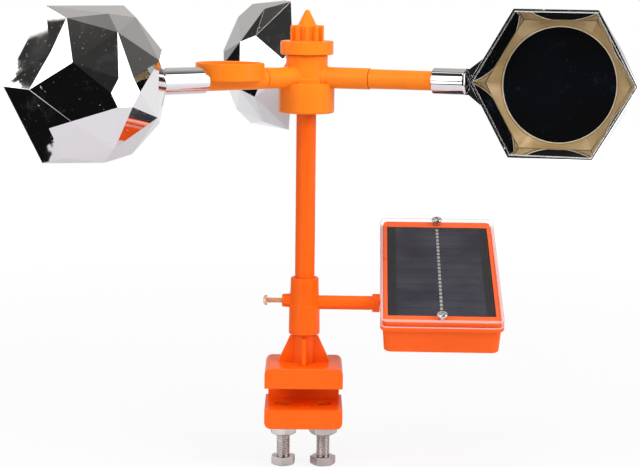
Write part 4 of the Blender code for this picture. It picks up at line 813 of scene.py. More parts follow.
def model_bolts(settings, steel):
    radius, pitch = settings.bolt_radius, settings.bolt_pitch
    bore = radius + PLAY / 2
    for name, turned in BOLT_TURN.items():
        low, high = box_of(f"clamp_bolt_{name}")
        centre = middle_of(f"clamp_bolt_{name}")
        place = move(centre.x, centre.y)
        head_top = low.z + BOLT_HEAD
        head = hexagon_head(
            f"bolt_head_{name}", BOLT_FLATS, low.z, head_top, HEX_TURN + turned,
            (BOLT_FLATS - HEX_CHAMFER) / 2,
        )
        soften(head, HEAD_EDGE)
        shank = thread(
            f"bolt_thread_{name}", radius, pitch, head_top - pitch * THREAD_RUN_IN, high.z
        )
        bolt = settle(join_shells(f"threaded_bolt_{name}", head, shank), place)
        fit(bolt, f"bolt_{name}", "zinc_steel", steel, f"clamp_bolt_{name}")

        low, high = box_of(f"lock_nut_{name}")
        nut = hexagon_head(
            f"hex_nut_{name}", NUT_FLATS, low.z, high.z, HEX_TURN - turned,
            NUT_FACE_RADIUS + NUT_FACE_WIDER,
        )
        hole = turn(
            f"nut_hole_{name}",
            [(0.0, high.z + OVERRUN), (bore, high.z + OVERRUN), (bore, low.z + HEX_CHAMFER),
             (bore + HEX_CHAMFER + OVERRUN, low.z - OVERRUN), (0.0, low.z - OVERRUN)],
        )
        soften(carve(nut, hole), NUT_EDGE)
        fit(settle(nut, place), "clamp_and_pole", "zinc_steel", steel, f"lock_nut_{name}")

        low, high = box_of(f"washer_{name}")
        washer = turn(
            f"round_washer_{name}",
            rounded(ring_profile(bore, (high.x - low.x) / 2, low.z, high.z), WASHER_EDGE),
            place=place,
        )
        fit(shade(washer), "clamp_and_pole", "zinc_steel", steel, f"washer_{name}")


def model_clamp(settings, plastic):
    clamp = copy_of("moulded_clamp", "clamp_body")
    soften(clamp, settings.edge_round, 3, CLAMP_CORNER_ANGLE)
    fit(clamp, "clamp_and_pole", "orange_plastic", plastic, "clamp_body")

    low, high = box_of("pole")
    radius = (high.y - low.y) / 2
    profile = rounded(ring_profile(POLE_BORE, radius, low.z, high.z), POLE_EDGE)
    fit(shade(turn("pole_tube", profile)), "clamp_and_pole", "orange_plastic", plastic, "pole")


# Tee and its screw
TEE_TOP_RADIUS = 0.0076
TEE_BOTTOM_RADIUS = 0.0085
TEE_BEAD_SHARE = 0.52
TEE_BEAD = 0.00028
TEE_ROUND = 0.0015
TEE_SCREW_LIFT = 0.0008
TEE_BOSS_RADIUS = 0.00345
TEE_BOSS_REACH = 0.0122
TEE_ARM_RADIUS = 0.0038
TEE_ARM_REACH = 0.0369
TEE_FLANGE_RADIUS = 0.0050
TEE_FLANGE_THICKNESS = 0.0041
TEE_HOLE_RADIUS = 0.0018
SET_SCREW_RADIUS = 0.0015
SET_SCREW_LENGTH = 0.0147
SET_SCREW_HEAD_RADIUS = 0.00275
SET_SCREW_HEAD = 0.0022
SET_SCREW_NECK = 0.001
TEE_BOSS_TAPER = 0.0004
HEAD_STEPS = 64
HEAD_SIDE = 0.38
HEAD_SEAT_EDGE = 0.00005
RECESS_TAPER = 0.35


def cross_recess(name, width, reach, depth, place):
    """The tapered cross that a driver fits, as a tool to cut with."""
    arms = []
    for index in range(2):
        arm = blank(f"{name}_{index}")
        bpy.ops.mesh.primitive_cube_add(size=2.0, location=(0.0, 0.0, 0.0))
        bpy.ops.transform.resize(value=(reach / 2, width / 2, depth))
        choose_edges(arm, lambda a, b: max(a.z, b.z) < 0.0)
        bpy.ops.transform.resize(value=(RECESS_TAPER, 1.0, 1.0))
        set_down()
        arms.append(settle(arm, Matrix.Rotation(math.pi / 2 * index, 4, "Z")))
    return settle(carve(*arms, operation="UNION"), place)


def pan_head(name, radius, height, shank_radius, shank_end):
    """A pan head screw's head and plain shank, standing on its own Z with its seat at zero."""
    profile = [(0.0, height)]
    for step in range(1, 9):
        angle = math.pi / 2 * step / 8
        rise = HEAD_SIDE + (1.0 - HEAD_SIDE) * math.cos(angle) ** 0.8
        profile.append((radius * math.sin(angle), height * rise))
    profile += [(radius, HEAD_SEAT_EDGE), (radius - HEAD_SEAT_EDGE, 0.0), (shank_radius, 0.0)]
    profile += [(shank_radius, shank_end), (0.0, shank_end)]
    cross = cross_recess(
        f"{name}_cross", radius * 0.26, radius * 1.15, height * 0.50, move(z=height * 1.02)
    )
    return shade(carve(turn(name, profile, steps=HEAD_STEPS), cross))


def model_tee(settings, plastic, copper):
    swivel = Matrix.Rotation(TEE_SWIVEL, 4, "Z")
    low, high = box_of("tee_collar")
    bore = half_width("pole", 1) + PLAY
    bead = low.z + (high.z - low.z) * TEE_BEAD_SHARE
    bead_radius = TEE_BOTTOM_RADIUS + (TEE_TOP_RADIUS - TEE_BOTTOM_RADIUS) * TEE_BEAD_SHARE
    body = turn(
        "sliding_tee",
        rounded(
            [(bore, high.z - TEE_ROUND), (bore, high.z), (TEE_TOP_RADIUS, high.z),
             (bead_radius, bead + TEE_BEAD), (bead_radius + TEE_BEAD, bead),
             (TEE_BOTTOM_RADIUS, low.z), (bore, low.z), (bore, high.z - TEE_ROUND)],
            TEE_ROUND * 0.45,
        ),
    )
    start = (bore + TEE_TOP_RADIUS) / 2
    flange_end = TEE_ARM_REACH + TEE_FLANGE_THICKNESS
    arm_line = move(z=TEE_AXIS_HEIGHT) @ ALONG_X
    screw_line = move(z=TEE_AXIS_HEIGHT + TEE_SCREW_LIFT) @ ALONG_MINUS_X
    arm = turn(
        "tee_arm",
        rounded(
            [(0.0, flange_end), (TEE_FLANGE_RADIUS, flange_end), (TEE_FLANGE_RADIUS, TEE_ARM_REACH),
             (TEE_ARM_RADIUS, TEE_ARM_REACH), (TEE_ARM_RADIUS, start), (0.0, start)],
            settings.edge_round,
        ),
        place=arm_line,
    )
    boss = turn(
        "tee_boss",
        rounded([(0.0, TEE_BOSS_REACH), (TEE_BOSS_RADIUS, TEE_BOSS_REACH),
                 (TEE_BOSS_RADIUS + TEE_BOSS_TAPER, start), (0.0, start)], settings.edge_round),
        place=screw_line,
    )
    carve(body, arm, boss, operation="UNION")
    holes = (
        turn(name, peg_profile(TEE_HOLE_RADIUS, inner, outer + OVERRUN), SMALL, line)
        for name, inner, outer, line in (
            ("tee_screw_hole", bore - OVERRUN, TEE_BOSS_REACH, screw_line),
            ("tee_pivot_hole", TEE_ARM_REACH - TEE_BOSS_REACH, flange_end, arm_line),
        )
    )
    carve(body, *holes)
    fit(shade(settle(body, swivel)), "tee", "orange_plastic", plastic, "tee_collar")

    head = pan_head(
        "thumb_screw_head", SET_SCREW_HEAD_RADIUS, SET_SCREW_HEAD, SET_SCREW_RADIUS * 0.8,
        -SET_SCREW_NECK,
    )
    shank = thread(
        "thumb_screw_thread", SET_SCREW_RADIUS, settings.screw_pitch, 0.0, SET_SCREW_LENGTH, 24
    )
    settle(shank, Matrix.Rotation(math.pi, 4, "X"))
    screw = join_shells("coppery_set_screw", head, shank)
    settle(screw, swivel @ screw_line @ move(z=bore + SET_SCREW_LENGTH))
    fit(screw, "tee_screw", "coppery_steel", copper, "set_screw")


# Solar box
BOX_TILT = math.radians(18.8)
PIVOT_PAD = 0.0010
PIVOT_FORWARD = 0.018
PIVOT_DROP = 0.0132
BOX_CORNER = 0.004
LID_SIZE = (0.0650, 0.122, 0.0042)
LID_PLATE = 0.0012
LID_WALL = 0.0016
LID_PAD_RADIUS = 0.0036
LID_PAD_HEIGHT = 0.0005
TRAY_SIZE = (0.0625, 0.1194)
PANEL_SIZE = (0.0565, 0.1040, 0.0022)
PANEL_DROP = 0.0017
LID_SCREW_INSET = 0.0050
LID_SCREW_RADIUS = 0.00145
LID_SCREW_LENGTH = 0.0150
LID_SCREW_HEAD_RADIUS = 0.0029
LID_SCREW_HEAD = 0.0019
RIBBON_WIDTH = 0.0015
RIBBON_LIFT = 0.00008
DASH_SHARE = 0.70
LID_EDGE = 0.0009
LID_INNER_EDGE = 0.0004
LID_PAD_EDGE = 0.0002
LID_SCREWS = (("front", -1, 41.0), ("back", 1, 20.0))
PANEL_CORNER = 0.0004
PANEL_EDGE = 0.0002
TRAY_EDGE = 0.00035
FRAME_EDGE = 0.00025


def box_place():
    """The solar box's own frame: X across, Y towards its back and Z out of the lid's top."""
    hinge = Matrix.Translation(TILT_PIVOT) @ Matrix.Rotation(TEE_SWIVEL, 4, "Z")
    hinge = hinge @ Matrix.Rotation(BOX_TILT, 4, "X")
    return hinge @ move(TRAY_SIZE[0] / 2 + PIVOT_PAD, PIVOT_FORWARD, PIVOT_DROP)


def rounded_block(name, width, length, bottom, top, corner, edge, segments=8):
    """A block with upright corners and a top rim rounded with Bevel, its edges picked by place."""
    obj = blank(name)
    bpy.ops.mesh.primitive_cube_add(size=1.0, location=(0.0, 0.0, 0.0))
    bpy.ops.transform.resize(value=(width, length, top - bottom))
    bpy.ops.transform.translate(value=(0.0, 0.0, (top + bottom) / 2))
    choose_edges(obj, lambda a, b: abs(a.z - b.z) > (top - bottom) / 2)
    bpy.ops.mesh.bevel(offset=corner, segments=segments, affect="EDGES")
    choose_edges(obj, lambda a, b: min(a.z, b.z) > top - WELD)
    bpy.ops.mesh.bevel(offset=edge, segments=3, affect="EDGES")
    set_down()
    return obj


def model_lid(place, clear, chrome):
    width, length, height = LID_SIZE
    lid = rounded_block("clear_cover", width, length, -height, 0.0, BOX_CORNER, LID_EDGE)
    hollow = rounded_block(
        "cover_hollow", width - 2 * LID_WALL, length - 2 * LID_WALL, -height - OVERRUN, -LID_PLATE,
        BOX_CORNER - LID_WALL, LID_INNER_EDGE,
    )
    carve(lid, hollow)
    for name, side, turned in LID_SCREWS:
        spot = move(y=side * (length / 2 - LID_SCREW_INSET))
        pad = peg_profile(LID_PAD_RADIUS, -LID_PLATE / 2, LID_PAD_HEIGHT)
        pad = turn(f"cover_pad_{name}", rounded(pad, LID_PAD_EDGE), place=spot)
        carve(lid, pad, operation="UNION")
        hole = peg_profile(LID_SCREW_RADIUS + PLAY, -height, OVERRUN)
        carve(lid, turn(f"cover_hole_{name}", hole, SMALL, spot))
        screw = pan_head(
            f"cover_screw_{name}", LID_SCREW_HEAD_RADIUS, LID_SCREW_HEAD, LID_SCREW_RADIUS,
            -LID_SCREW_LENGTH,
        )
        turned_by = Matrix.Rotation(math.radians(turned), 4, "Z")
        settle(screw, place @ spot @ move(z=LID_PAD_HEIGHT + PLAY) @ turned_by)
        fit(screw, "solar_box", "screw_chrome", chrome, f"lid_screw_{name}")
    fit(settle(shade(lid), place), "solar_box", "clear_plastic", clear, "clear_lid")


def model_panel(place, settings, sheet, ribbon):
    width, length, thickness = PANEL_SIZE
    panel = rounded_block(
        "cell_panel", width, length, -PANEL_DROP - thickness, -PANEL_DROP, PANEL_CORNER, PANEL_EDGE,
        segments=2,
    )
    fit(settle(shade(panel), place), "solar_box", "solar_cells", sheet, "solar_panel")

    dashes = settings.ribbon_dashes
    step = (length - 2 * RIBBON_WIDTH) / dashes
    dash = rounded_block(
        "ribbon_dashes", RIBBON_WIDTH, step * DASH_SHARE, -PANEL_DROP, RIBBON_LIFT - PANEL_DROP,
        RIBBON_WIDTH * 0.3, RIBBON_LIFT / 2, segments=3,
    )
    modify(
        dash, "ARRAY", count=dashes, use_relative_offset=False, use_constant_offset=True,
        constant_offset_displace=(0.0, step, 0.0),
    )
    settle(apply_all(dash), move(y=-(dashes - 1) * step / 2))
    fit(settle(dash, place), "solar_box", "screw_chrome", ribbon)


def model_box(settings, plastic, clear, chrome, sheet, ribbon):
    for name, node, width in (
        ("box_tray", "solar_tray", TRAY_EDGE), ("box_panel_frame", "panel_frame", FRAME_EDGE)
    ):
        piece = soften(copy_of(name, node), width)
        fit(piece, "solar_box", "orange_plastic", plastic, node)
    model_panel(box_place(), settings, sheet, ribbon)
    model_lid(box_place(), clear, chrome)


# Hub, cap and arms
COLLAR_RADIUS = 0.0150
COLLAR_HEIGHT = 0.0161
COLLAR_ROUND = 0.0016
HUB_RADIUS = 0.0112
HUB_HEIGHT = 0.0147
HUB_LIP = 0.0006
HUB_LIP_HEIGHT = 0.0023
HUB_NECK_RADIUS = 0.0075
SHAFT_HOLE = 0.0043
BUSH_SEAT = 0.0053
BUSH_DEPTH = 0.0080
BEARING_SEAT = 0.0113
BEARING_DEPTH = 0.0092
STUB_RADIUS = 0.00565
STUB_ENDS = {"right": 0.0357, "back": 0.0357, "left": 0.0285}
STUB_BORE = 0.0042
STUB_BORE_DEPTH = 0.014
STUB_FILLET = 0.0014
STUB_FLARE = ((0.25, 0.35), (0.80, -0.20))
HUB_LIP_SLOPE = 0.0004
HUB_STEPS = 96
ARM_ANGLES = {"right": -20.3, "back": 95.5, "left": 217.8}
ARM_ROOT_RADIUS = 0.0052
ARM_TIP_RADIUS = 0.00505
ARM_PLUG_RADIUS = 0.0039
ARM_SHOULDER = 0.0707
ARM_NOSE_RADIUS = 0.0046
ARM_NOSE_LENGTH = 0.0150
DISH_CENTRE = 0.0504
DISH_RADIUS = 0.0180
DISH_WALL = 0.0018
DISH_FLOOR = 0.0015
DISH_BELOW = 0.0003
DISH_ABOVE = 0.0088
DISH_EDGE = 0.0006
DISH_OVERLAP = 0.0013
CAP_RADIUS = 0.0142
CAP_FLANGE = 0.0074
KNOB_CORE_RADIUS = 0.0070
KNOB_RIB_RADIUS = 0.0092
KNOB_HEIGHT = 0.0084
KNOB_RIBS = 10
KNOB_RIB_WIDTH = 0.0025
CONE_RADIUS = 0.0048
CONE_HEIGHT = 0.0081
CONE_TIP_RADIUS = 0.0014
CONE_TIP_TURN = 62.0
CONE_WAIST = (0.68, 0.42)
CONE_BASE = (0.98, 0.0004)
CONE_FOOT = 0.0005
CAP_ROUND = 0.0009
CAP_ROOF = 0.0008
RIB_SUNK = 0.0008
RIB_DROP = 0.0002
RIB_CORNER = 0.0007
RIB_EDGE = 0.00045


def arm_place(name):
    return move(z=ARM_HEIGHT) @ Matrix.Rotation(math.radians(ARM_ANGLES[name]), 4, "Z")


def model_hub(plastic):
    low, high = box_of("rotor_hub")
    bottom = low.z
    collar_top = bottom + COLLAR_HEIGHT
    hub_top = collar_top + HUB_HEIGHT
    lip_top = collar_top + HUB_LIP_HEIGHT
    lip_radius = HUB_RADIUS + HUB_LIP
    seat_top = bottom + BEARING_DEPTH
    bush_foot = high.z - BUSH_DEPTH
    hub = turn(
        "bearing_hub",
        [(BUSH_SEAT, bush_foot)]
        + rounded(
            [(BUSH_SEAT, high.z), (HUB_NECK_RADIUS, high.z), (HUB_NECK_RADIUS, hub_top),
             (HUB_RADIUS, hub_top), (HUB_RADIUS, lip_top + HUB_LIP_SLOPE), (lip_radius, lip_top),
             (lip_radius, collar_top), (COLLAR_RADIUS, collar_top)],
            FINE_EDGE,
        )[:-1]
        + rounded(
            [(COLLAR_RADIUS - COLLAR_ROUND, collar_top), (COLLAR_RADIUS, collar_top),
             (COLLAR_RADIUS, bottom), (BEARING_SEAT, bottom)],
            COLLAR_ROUND * 0.8, 5,
        )
        + [(BEARING_SEAT, seat_top), (SHAFT_HOLE, seat_top), (SHAFT_HOLE, bush_foot),
           (BUSH_SEAT, bush_foot)],
        steps=HUB_STEPS,
    )
    for name, end in STUB_ENDS.items():
        stub = turn(
            f"hub_stub_{name}",
            rounded(
                [(0.0, end), (STUB_RADIUS, end), (STUB_RADIUS, HUB_RADIUS + STUB_FILLET)], FINE_EDGE
            )
            + [(STUB_RADIUS + STUB_FILLET * wider, HUB_RADIUS + STUB_FILLET * further)
               for wider, further in STUB_FLARE]
            + [(STUB_RADIUS + STUB_FILLET * STUB_FLARE[-1][0], HUB_NECK_RADIUS),
               (0.0, HUB_NECK_RADIUS)],
            place=arm_place(name) @ ALONG_X,
        )
        carve(hub, stub, operation="UNION")
    for name, end in STUB_ENDS.items():
        bore = peg_profile(STUB_BORE, end - STUB_BORE_DEPTH, end + OVERRUN)
        carve(hub, turn(f"stub_bore_{name}", bore, SMALL, arm_place(name) @ ALONG_X))
    fit(shade(hub), "rotor", "orange_plastic", plastic, "rotor_hub")


def model_cap(plastic):
    bottom = box_of("cap_nut")[0].z
    flange_top = bottom + CAP_FLANGE
    knob_top = flange_top + KNOB_HEIGHT
    tip = knob_top + CONE_HEIGHT
    bore = HUB_NECK_RADIUS + PLAY
    cone = [(0.0, tip)]
    for step in range(1, 6):
        angle = math.radians(CONE_TIP_TURN * step / 5)
        cone.append(
            (CONE_TIP_RADIUS * math.sin(angle), tip - CONE_TIP_RADIUS * (1 - math.cos(angle)))
        )
    cap = turn(
        "ribbed_cap",
        cone
        + [(CONE_RADIUS * CONE_WAIST[0], knob_top + CONE_HEIGHT * CONE_WAIST[1]),
           (CONE_RADIUS * CONE_BASE[0], knob_top + CONE_BASE[1])]
        + rounded(
            [(CONE_RADIUS + CONE_FOOT, knob_top), (KNOB_CORE_RADIUS, knob_top - CONE_FOOT),
             (KNOB_CORE_RADIUS, flange_top), (CAP_RADIUS, flange_top), (CAP_RADIUS, bottom),
             (bore, bottom)],
            CAP_ROUND, 4,
        )
        + [(bore, flange_top - CAP_ROOF), (0.0, flange_top - CAP_ROOF)],
        steps=HUB_STEPS,
    )
    inner = KNOB_CORE_RADIUS - RIB_SUNK
    for index in range(KNOB_RIBS):
        rib = rounded_block(
            f"cap_rib_{index}", KNOB_RIB_RADIUS - inner, KNOB_RIB_WIDTH, flange_top - CONE_FOOT,
            knob_top - RIB_DROP, RIB_CORNER, RIB_EDGE, segments=4,
        )
        turned_by = Matrix.Rotation(2 * math.pi * (index + 0.5) / KNOB_RIBS, 4, "Z")
        settle(rib, turned_by @ move(x=(KNOB_RIB_RADIUS + inner) / 2))
        carve(cap, rib, operation="UNION")
    fit(shade(cap), "rotor", "orange_plastic", plastic, "cap_nut")


def add_dish(arm):
    """Joins the round open dish on the left arm."""
    inner = DISH_RADIUS - DISH_WALL
    floor = DISH_FLOOR - DISH_BELOW
    shape = rounded(peg_profile(DISH_RADIUS, -DISH_BELOW, DISH_ABOVE), DISH_EDGE)
    room = [(0.0, DISH_ABOVE + OVERRUN), (inner + DISH_EDGE, DISH_ABOVE + OVERRUN),
            (inner + DISH_EDGE, DISH_ABOVE), (inner, DISH_ABOVE - DISH_EDGE), (inner, floor),
            (0.0, floor)]
    carve(arm, turn("arm_dish", shape, FINE, move(DISH_CENTRE)), operation="UNION")
    carve(arm, turn("arm_dish_hollow", room, FINE, move(DISH_CENTRE)))


def model_arms(plastic):
    nose_end = ARM_SHOULDER + ARM_NOSE_LENGTH
    for name, end in STUB_ENDS.items():
        shoulder, tip_radius, root_radius = ARM_SHOULDER, ARM_TIP_RADIUS, ARM_ROOT_RADIUS
        if name == "left":
            shoulder = DISH_CENTRE + DISH_RADIUS - DISH_OVERLAP
            tip_radius = root_radius = STUB_RADIUS
        root = end + PLAY
        plug = root - STUB_BORE_DEPTH
        profile = rounded(
            [(0.0, nose_end), (ARM_NOSE_RADIUS, nose_end), (ARM_NOSE_RADIUS, shoulder),
             (tip_radius, shoulder), (root_radius, root), (ARM_PLUG_RADIUS, root),
             (ARM_PLUG_RADIUS, plug), (0.0, plug)],
            FINE_EDGE,
        )
        arm = turn(f"rotor_arm_{name}", profile, place=ALONG_X)
        if name == "left":
            add_dish(arm)
        settle(shade(arm), arm_place(name))
        fit(arm, "rotor", "orange_plastic", plastic, f"arm_{name}")


# Cups
CUP_SIDES = 6
CUP_DISTANCE = {"right": 0.1346, "back": 0.1400, "left": 0.1380}
CUP_TWIST = {"right": -3.6, "back": 0.5, "left": -3.2}
RING_SHARES = (
    (1.0, 0.0, 0.0),
    (0.880, 0.350, 0.0),
    (0.816, 0.485, 0.5),
    (0.633, 0.680, 0.5),
    (0.184, 0.875, 0.0),
)
CORE_SHARE = 0.985
SLEEVE_WALL = 0.00195
SLEEVE_EDGE = 0.0004
SLEEVE_INTO_CUP = 0.0060
SLEEVE_NOSE = 0.0026
WEB_LENGTH = 0.0002
WEB_SHARE = 0.32
INSERT_DEPTH = 0.0108
INSERT_FUNNEL = 0.0055
INSERT_WALL = 0.0012
INSERT_SHARE = 0.867
LINER_WALL = 0.0004
SEAT_LIP = 0.0008
SEAT_LINE = 0.00055
MIRROR_THICKNESS = 0.0016
SLEEVE_PAST_DISH = 0.0010
WEB_FLAT = 0.35
NOSE_STEPS = 12
INSERT_CUTS = 15
BOWL_FOLD = 4.0
LINER_FOLD = 10.0
BOWL_SMOOTH = math.radians(60.0)
LINER_SMOOTH = math.radians(50.0)
INSERT_SMOOTH = math.radians(12.0)


def cup_place(name):
    """A cup's own frame, with Z running from its rim into its depth."""
    twist = Matrix.Rotation(math.radians(CUP_TWIST[name]), 4, "X")
    return arm_place(name) @ move(CUP_DISTANCE[name]) @ twist @ UPRIGHT


def bowl_hull(name, radius, forward, share=1.0):
    """The faceted bowl as the hull of its five rings, closed by its rim."""
    obj = blank(name)
    for radius_share, depth_share, half_turn in RING_SHARES:
        add_ring(
            radius * radius_share * share, radius * depth_share * share - forward,
            start=HEXAGON_START * (1.0 + 2.0 * half_turn),
        )
    bpy.ops.mesh.select_all(action="SELECT")
    bpy.ops.mesh.convex_hull(join_triangles=False)
    bpy.ops.mesh.select_all(action="SELECT")
    bpy.ops.mesh.dissolve_limited(angle_limit=FLAT_ANGLE / 2)
    set_down()
    return obj


def open_rim(obj, forward):
    """Takes away the face across the bowl's rim."""
    edit(obj)
    choose(obj, "FACE", lambda face: face.normal.z < -0.9 and face.center.z < WELD - forward)
    bpy.ops.mesh.delete(type="ONLY_FACE")
    bpy.ops.mesh.select_mode(type="VERT")
    set_down()


def model_bowl(name, settings, chrome):
    radius, forward = settings.cup_radius, settings.cup_forward
    bowl = bowl_hull(f"faceted_bowl_{name}", radius, forward)
    open_rim(bowl, forward)
    thicken(bowl, settings.cup_wall)
    edit(apply_all(bowl))
    bpy.ops.mesh.bisect(
        plane_co=(0.0, 0.0, WELD - forward), plane_no=(0.0, 0.0, 1.0), use_fill=True,
        clear_inner=True,
    )
    set_down()
    crease(bowl, settings.crease_width, BOWL_FOLD)
    shade(apply_all(bowl), BOWL_SMOOTH)
    settle(bowl, cup_place(name))
    fit(bowl, "rotor", "mirror_chrome", chrome, f"cup_shell_{name}")


def model_sleeve(name, settings, chrome):
    """The plated sleeve on the arm, which widens into the corner of the bowl."""
    radius, forward, out = settings.cup_radius, settings.cup_forward, settings.sleeve_radius
    distance = CUP_DISTANCE[name]
    start = ARM_SHOULDER + PLAY - distance
    if name == "left":
        start = DISH_CENTRE + DISH_RADIUS - SLEEVE_PAST_DISH - distance
    stop = SLEEVE_INTO_CUP - radius
    bore = out - SLEEVE_WALL
    bore_end = ARM_SHOULDER + ARM_NOSE_LENGTH + PLAY - distance
    profile = [(0.0, stop), (out, stop), (out, start), (bore, start), (bore, bore_end)]
    sleeve = turn(
        f"plated_sleeve_{name}", rounded(profile, SLEEVE_EDGE) + [(0.0, bore_end)], place=ALONG_X
    )
    web = blank(f"sleeve_web_{name}")
    side = Vector((radius / 2, 0.0, radius * math.sin(HEXAGON_START * 2))) * WEB_SHARE
    for sides, size, spot in (
        (64, out - PLAY / 2, (-radius - WEB_LENGTH, 0.0, 0.0)),
        (4, side.z, (side.x - radius, 1.2 * PLAY - forward, 0.0)),
    ):
        bpy.ops.mesh.primitive_circle_add(
            vertices=sides, radius=size, location=spot, rotation=(0.0, math.pi / 2, 0.0)
        )
    bpy.ops.transform.resize(value=(1.0, WEB_FLAT, 1.0))
    bpy.ops.mesh.select_all(action="SELECT")
    bpy.ops.mesh.convex_hull(join_triangles=False)
    set_down()
    carve(sleeve, web, operation="UNION")
    carve(sleeve, settle(bowl_hull(f"bowl_core_{name}", radius, forward, CORE_SHARE), UPRIGHT))
    front = blank(f"front_cut_{name}")
    bpy.ops.mesh.primitive_cube_add(
        size=2 * radius, location=(-SLEEVE_NOSE, PLAY / 2 - forward - radius, 0.0)
    )
    set_down()
    carve(sleeve, front)
    nose_end = PLAY - radius
    nose = []
    for step in range(NOSE_STEPS + 1):
        angle = math.pi / 2 * step / NOSE_STEPS
        nose.append((out * math.sin(angle), nose_end - SLEEVE_NOSE * (1.0 - math.cos(angle))))
    foot = nose_end - SLEEVE_NOSE - OVERRUN
    nose += [(out, foot), (0.0, foot)]
    carve(sleeve, turn(f"sleeve_nose_{name}", nose, place=ALONG_X), operation="UNION")
    if name == "left":
        ease = turn(
            "dish_ease", peg_profile(DISH_RADIUS + PLAY, -DISH_BELOW - PLAY, out + OVERRUN),
            FINE, move(DISH_CENTRE - distance),
        )
        carve(sleeve, settle(ease, Matrix.Rotation(math.radians(-CUP_TWIST[name]), 4, "X")))
    settle(shade(sleeve), cup_place(name) @ UPRIGHT.inverted())
    fit(sleeve, "rotor", "mirror_chrome", chrome, f"cup_shell_{name}")


def model_liner(name, settings, chrome):
    """The plated lining that slopes from the rim to the insert's edge."""
    front = settings.cup_radius - (settings.cup_wall + LINER_WALL) / math.cos(math.pi / CUP_SIDES)
    liner = blank(f"plated_lining_{name}")
    add_ring(front, PLAY - settings.cup_forward)
    add_ring(settings.cup_radius * INSERT_SHARE, INSERT_DEPTH - settings.cup_forward)
    bridge_rings(liner, CUP_SIDES, inside=True)
    thicken(liner, LINER_WALL)
    crease(liner, settings.crease_width, LINER_FOLD)
    shade(apply_all(liner), LINER_SMOOTH)
    fit(settle(liner, cup_place(name)), "rotor", "mirror_chrome", chrome)


def model_insert(name, settings, tan):
    """The creased insert: a funnel from the six-sided edge to the round seat, then a pocket."""
    steps = CUP_SIDES * (INSERT_CUTS + 1)
    floor = INSERT_DEPTH - settings.cup_forward
    back = floor + INSERT_FUNNEL
    seat = settings.mirror_radius + PLAY
    insert = blank(f"creased_insert_{name}")
    add_ring(settings.cup_radius * INSERT_SHARE - PLAY, floor)
    bpy.ops.mesh.subdivide(number_cuts=INSERT_CUTS)
    for radius, depth in (
        (seat + SEAT_LIP, back - SEAT_LIP / 2),
        (seat, back - SEAT_LIP / 2 + PLAY / 2),
        (seat, back + MIRROR_THICKNESS + PLAY),
    ):
        add_ring(radius, depth, steps)
    bridge_rings(insert, steps)
    funnel = max(insert.data.polygons, key=lambda face: face.area)
    modify(
        insert, "SOLIDIFY", thickness=INSERT_WALL, offset=1.0 if funnel.normal.z > 0.0 else -1.0
    )
    shade(apply_all(insert), INSERT_SMOOTH)
    fit(settle(insert, cup_place(name)), "rotor", "tan_plastic", tan, f"cup_insert_{name}")


def bridge_rings(obj, steps, inside=False):
    """Bridges each ring of points with the next one that was added, and turns the faces one way."""
    set_down()
    for ring in range(len(obj.data.vertices) // steps - 1):
        edit(obj)
        choose(
            obj, "EDGE",
            lambda edge: {index // steps for index in edge.vertices} in ({ring}, {ring + 1}),
        )
        bpy.ops.mesh.bridge_edge_loops()
        bpy.ops.mesh.select_mode(type="VERT")
        set_down()
    edit(obj)
    bpy.ops.mesh.normals_make_consistent(inside=inside)
    set_down()


def model_seat_line(name, settings, painted_lip_highlight):
    """A pale ring round a disc: a painted highlight on the insert's lip."""
    back = INSERT_DEPTH - settings.cup_forward + INSERT_FUNNEL
    inner = settings.mirror_radius + PLAY / 2
    profile = rounded(
        ring_profile(inner, inner + SEAT_LINE, back - SEAT_LIP - PLAY, back - SEAT_LIP / 2), PLAY
    )
    line = turn(f"seat_line_{name}", profile, steps=FINE, place=cup_place(name))
    fit(shade(line), "rotor", "tan_plastic", painted_lip_highlight)


def model_disc(name, settings, dark):
    back = INSERT_DEPTH - settings.cup_forward + INSERT_FUNNEL
    profile = rounded(
        peg_profile(settings.mirror_radius, back, back + MIRROR_THICKNESS), FINE_EDGE
    )
    disc = turn(f"dark_disc_{name}", profile, FINE, cup_place(name))
    fit(shade(disc), "rotor", "dark_mirror", dark, f"mirror_disc_{name}")


# Operators
class REPELLER_OT_clamp(bpy.types.Operator):
    """Models the clamp and the pole"""

    bl_idname = "repeller.clamp"
    bl_label = "Clamp and pole"

    def execute(self, context):
        settings = context.scene.repeller_stand
        model_clamp(settings, moulded_plastic("stand_plastic", settings.plastic_tint))
        return {"FINISHED"}


class REPELLER_OT_bolts(bpy.types.Operator):
    """Models the clamp's bolts, nuts and washers"""

    bl_idname = "repeller.bolts"
    bl_label = "Bolts, nuts and washers"

    def execute(self, context):
        settings = context.scene.repeller_stand
        model_bolts(settings, plated_steel("zinc_plated_steel", (0.74, 0.73, 0.71), 0.30))
        return {"FINISHED"}


class REPELLER_OT_tee(bpy.types.Operator):
    """Models the sliding tee and its screw"""

    bl_idname = "repeller.tee"
    bl_label = "Tee and screw"

    def execute(self, context):
        settings = context.scene.repeller_stand
        plastic = moulded_plastic("tee_plastic", settings.plastic_tint)
        copper = plated_steel("coppery_plated_steel", (1.0, 0.60, 0.36), 0.32, metallic=0.55)
        model_tee(settings, plastic, copper)
        return {"FINISHED"}


class REPELLER_OT_solar_box(bpy.types.Operator):
    """Models the solar box with its panel, cover and screws"""

    bl_idname = "repeller.solar_box"
    bl_label = "Solar box"

    def execute(self, context):
        settings = context.scene.repeller_box
        plastic = moulded_plastic("box_plastic", settings.plastic_tint)
        chrome = plated_steel("bright_screw_steel", (0.80, 0.80, 0.80), 0.16)
        ribbon = plated_steel("ribbon_tin", (0.50, 0.49, 0.46), 0.45, metallic=0.5)
        sheet = cell_sheet(
            settings.cell_tint, box_place(), settings.cell_strips, PANEL_SIZE[0], PANEL_SIZE[1]
        )
        clear = clear_cover(box_place(), LID_SIZE, LID_WALL)
        model_box(settings, plastic, clear, chrome, sheet, ribbon)
        return {"FINISHED"}


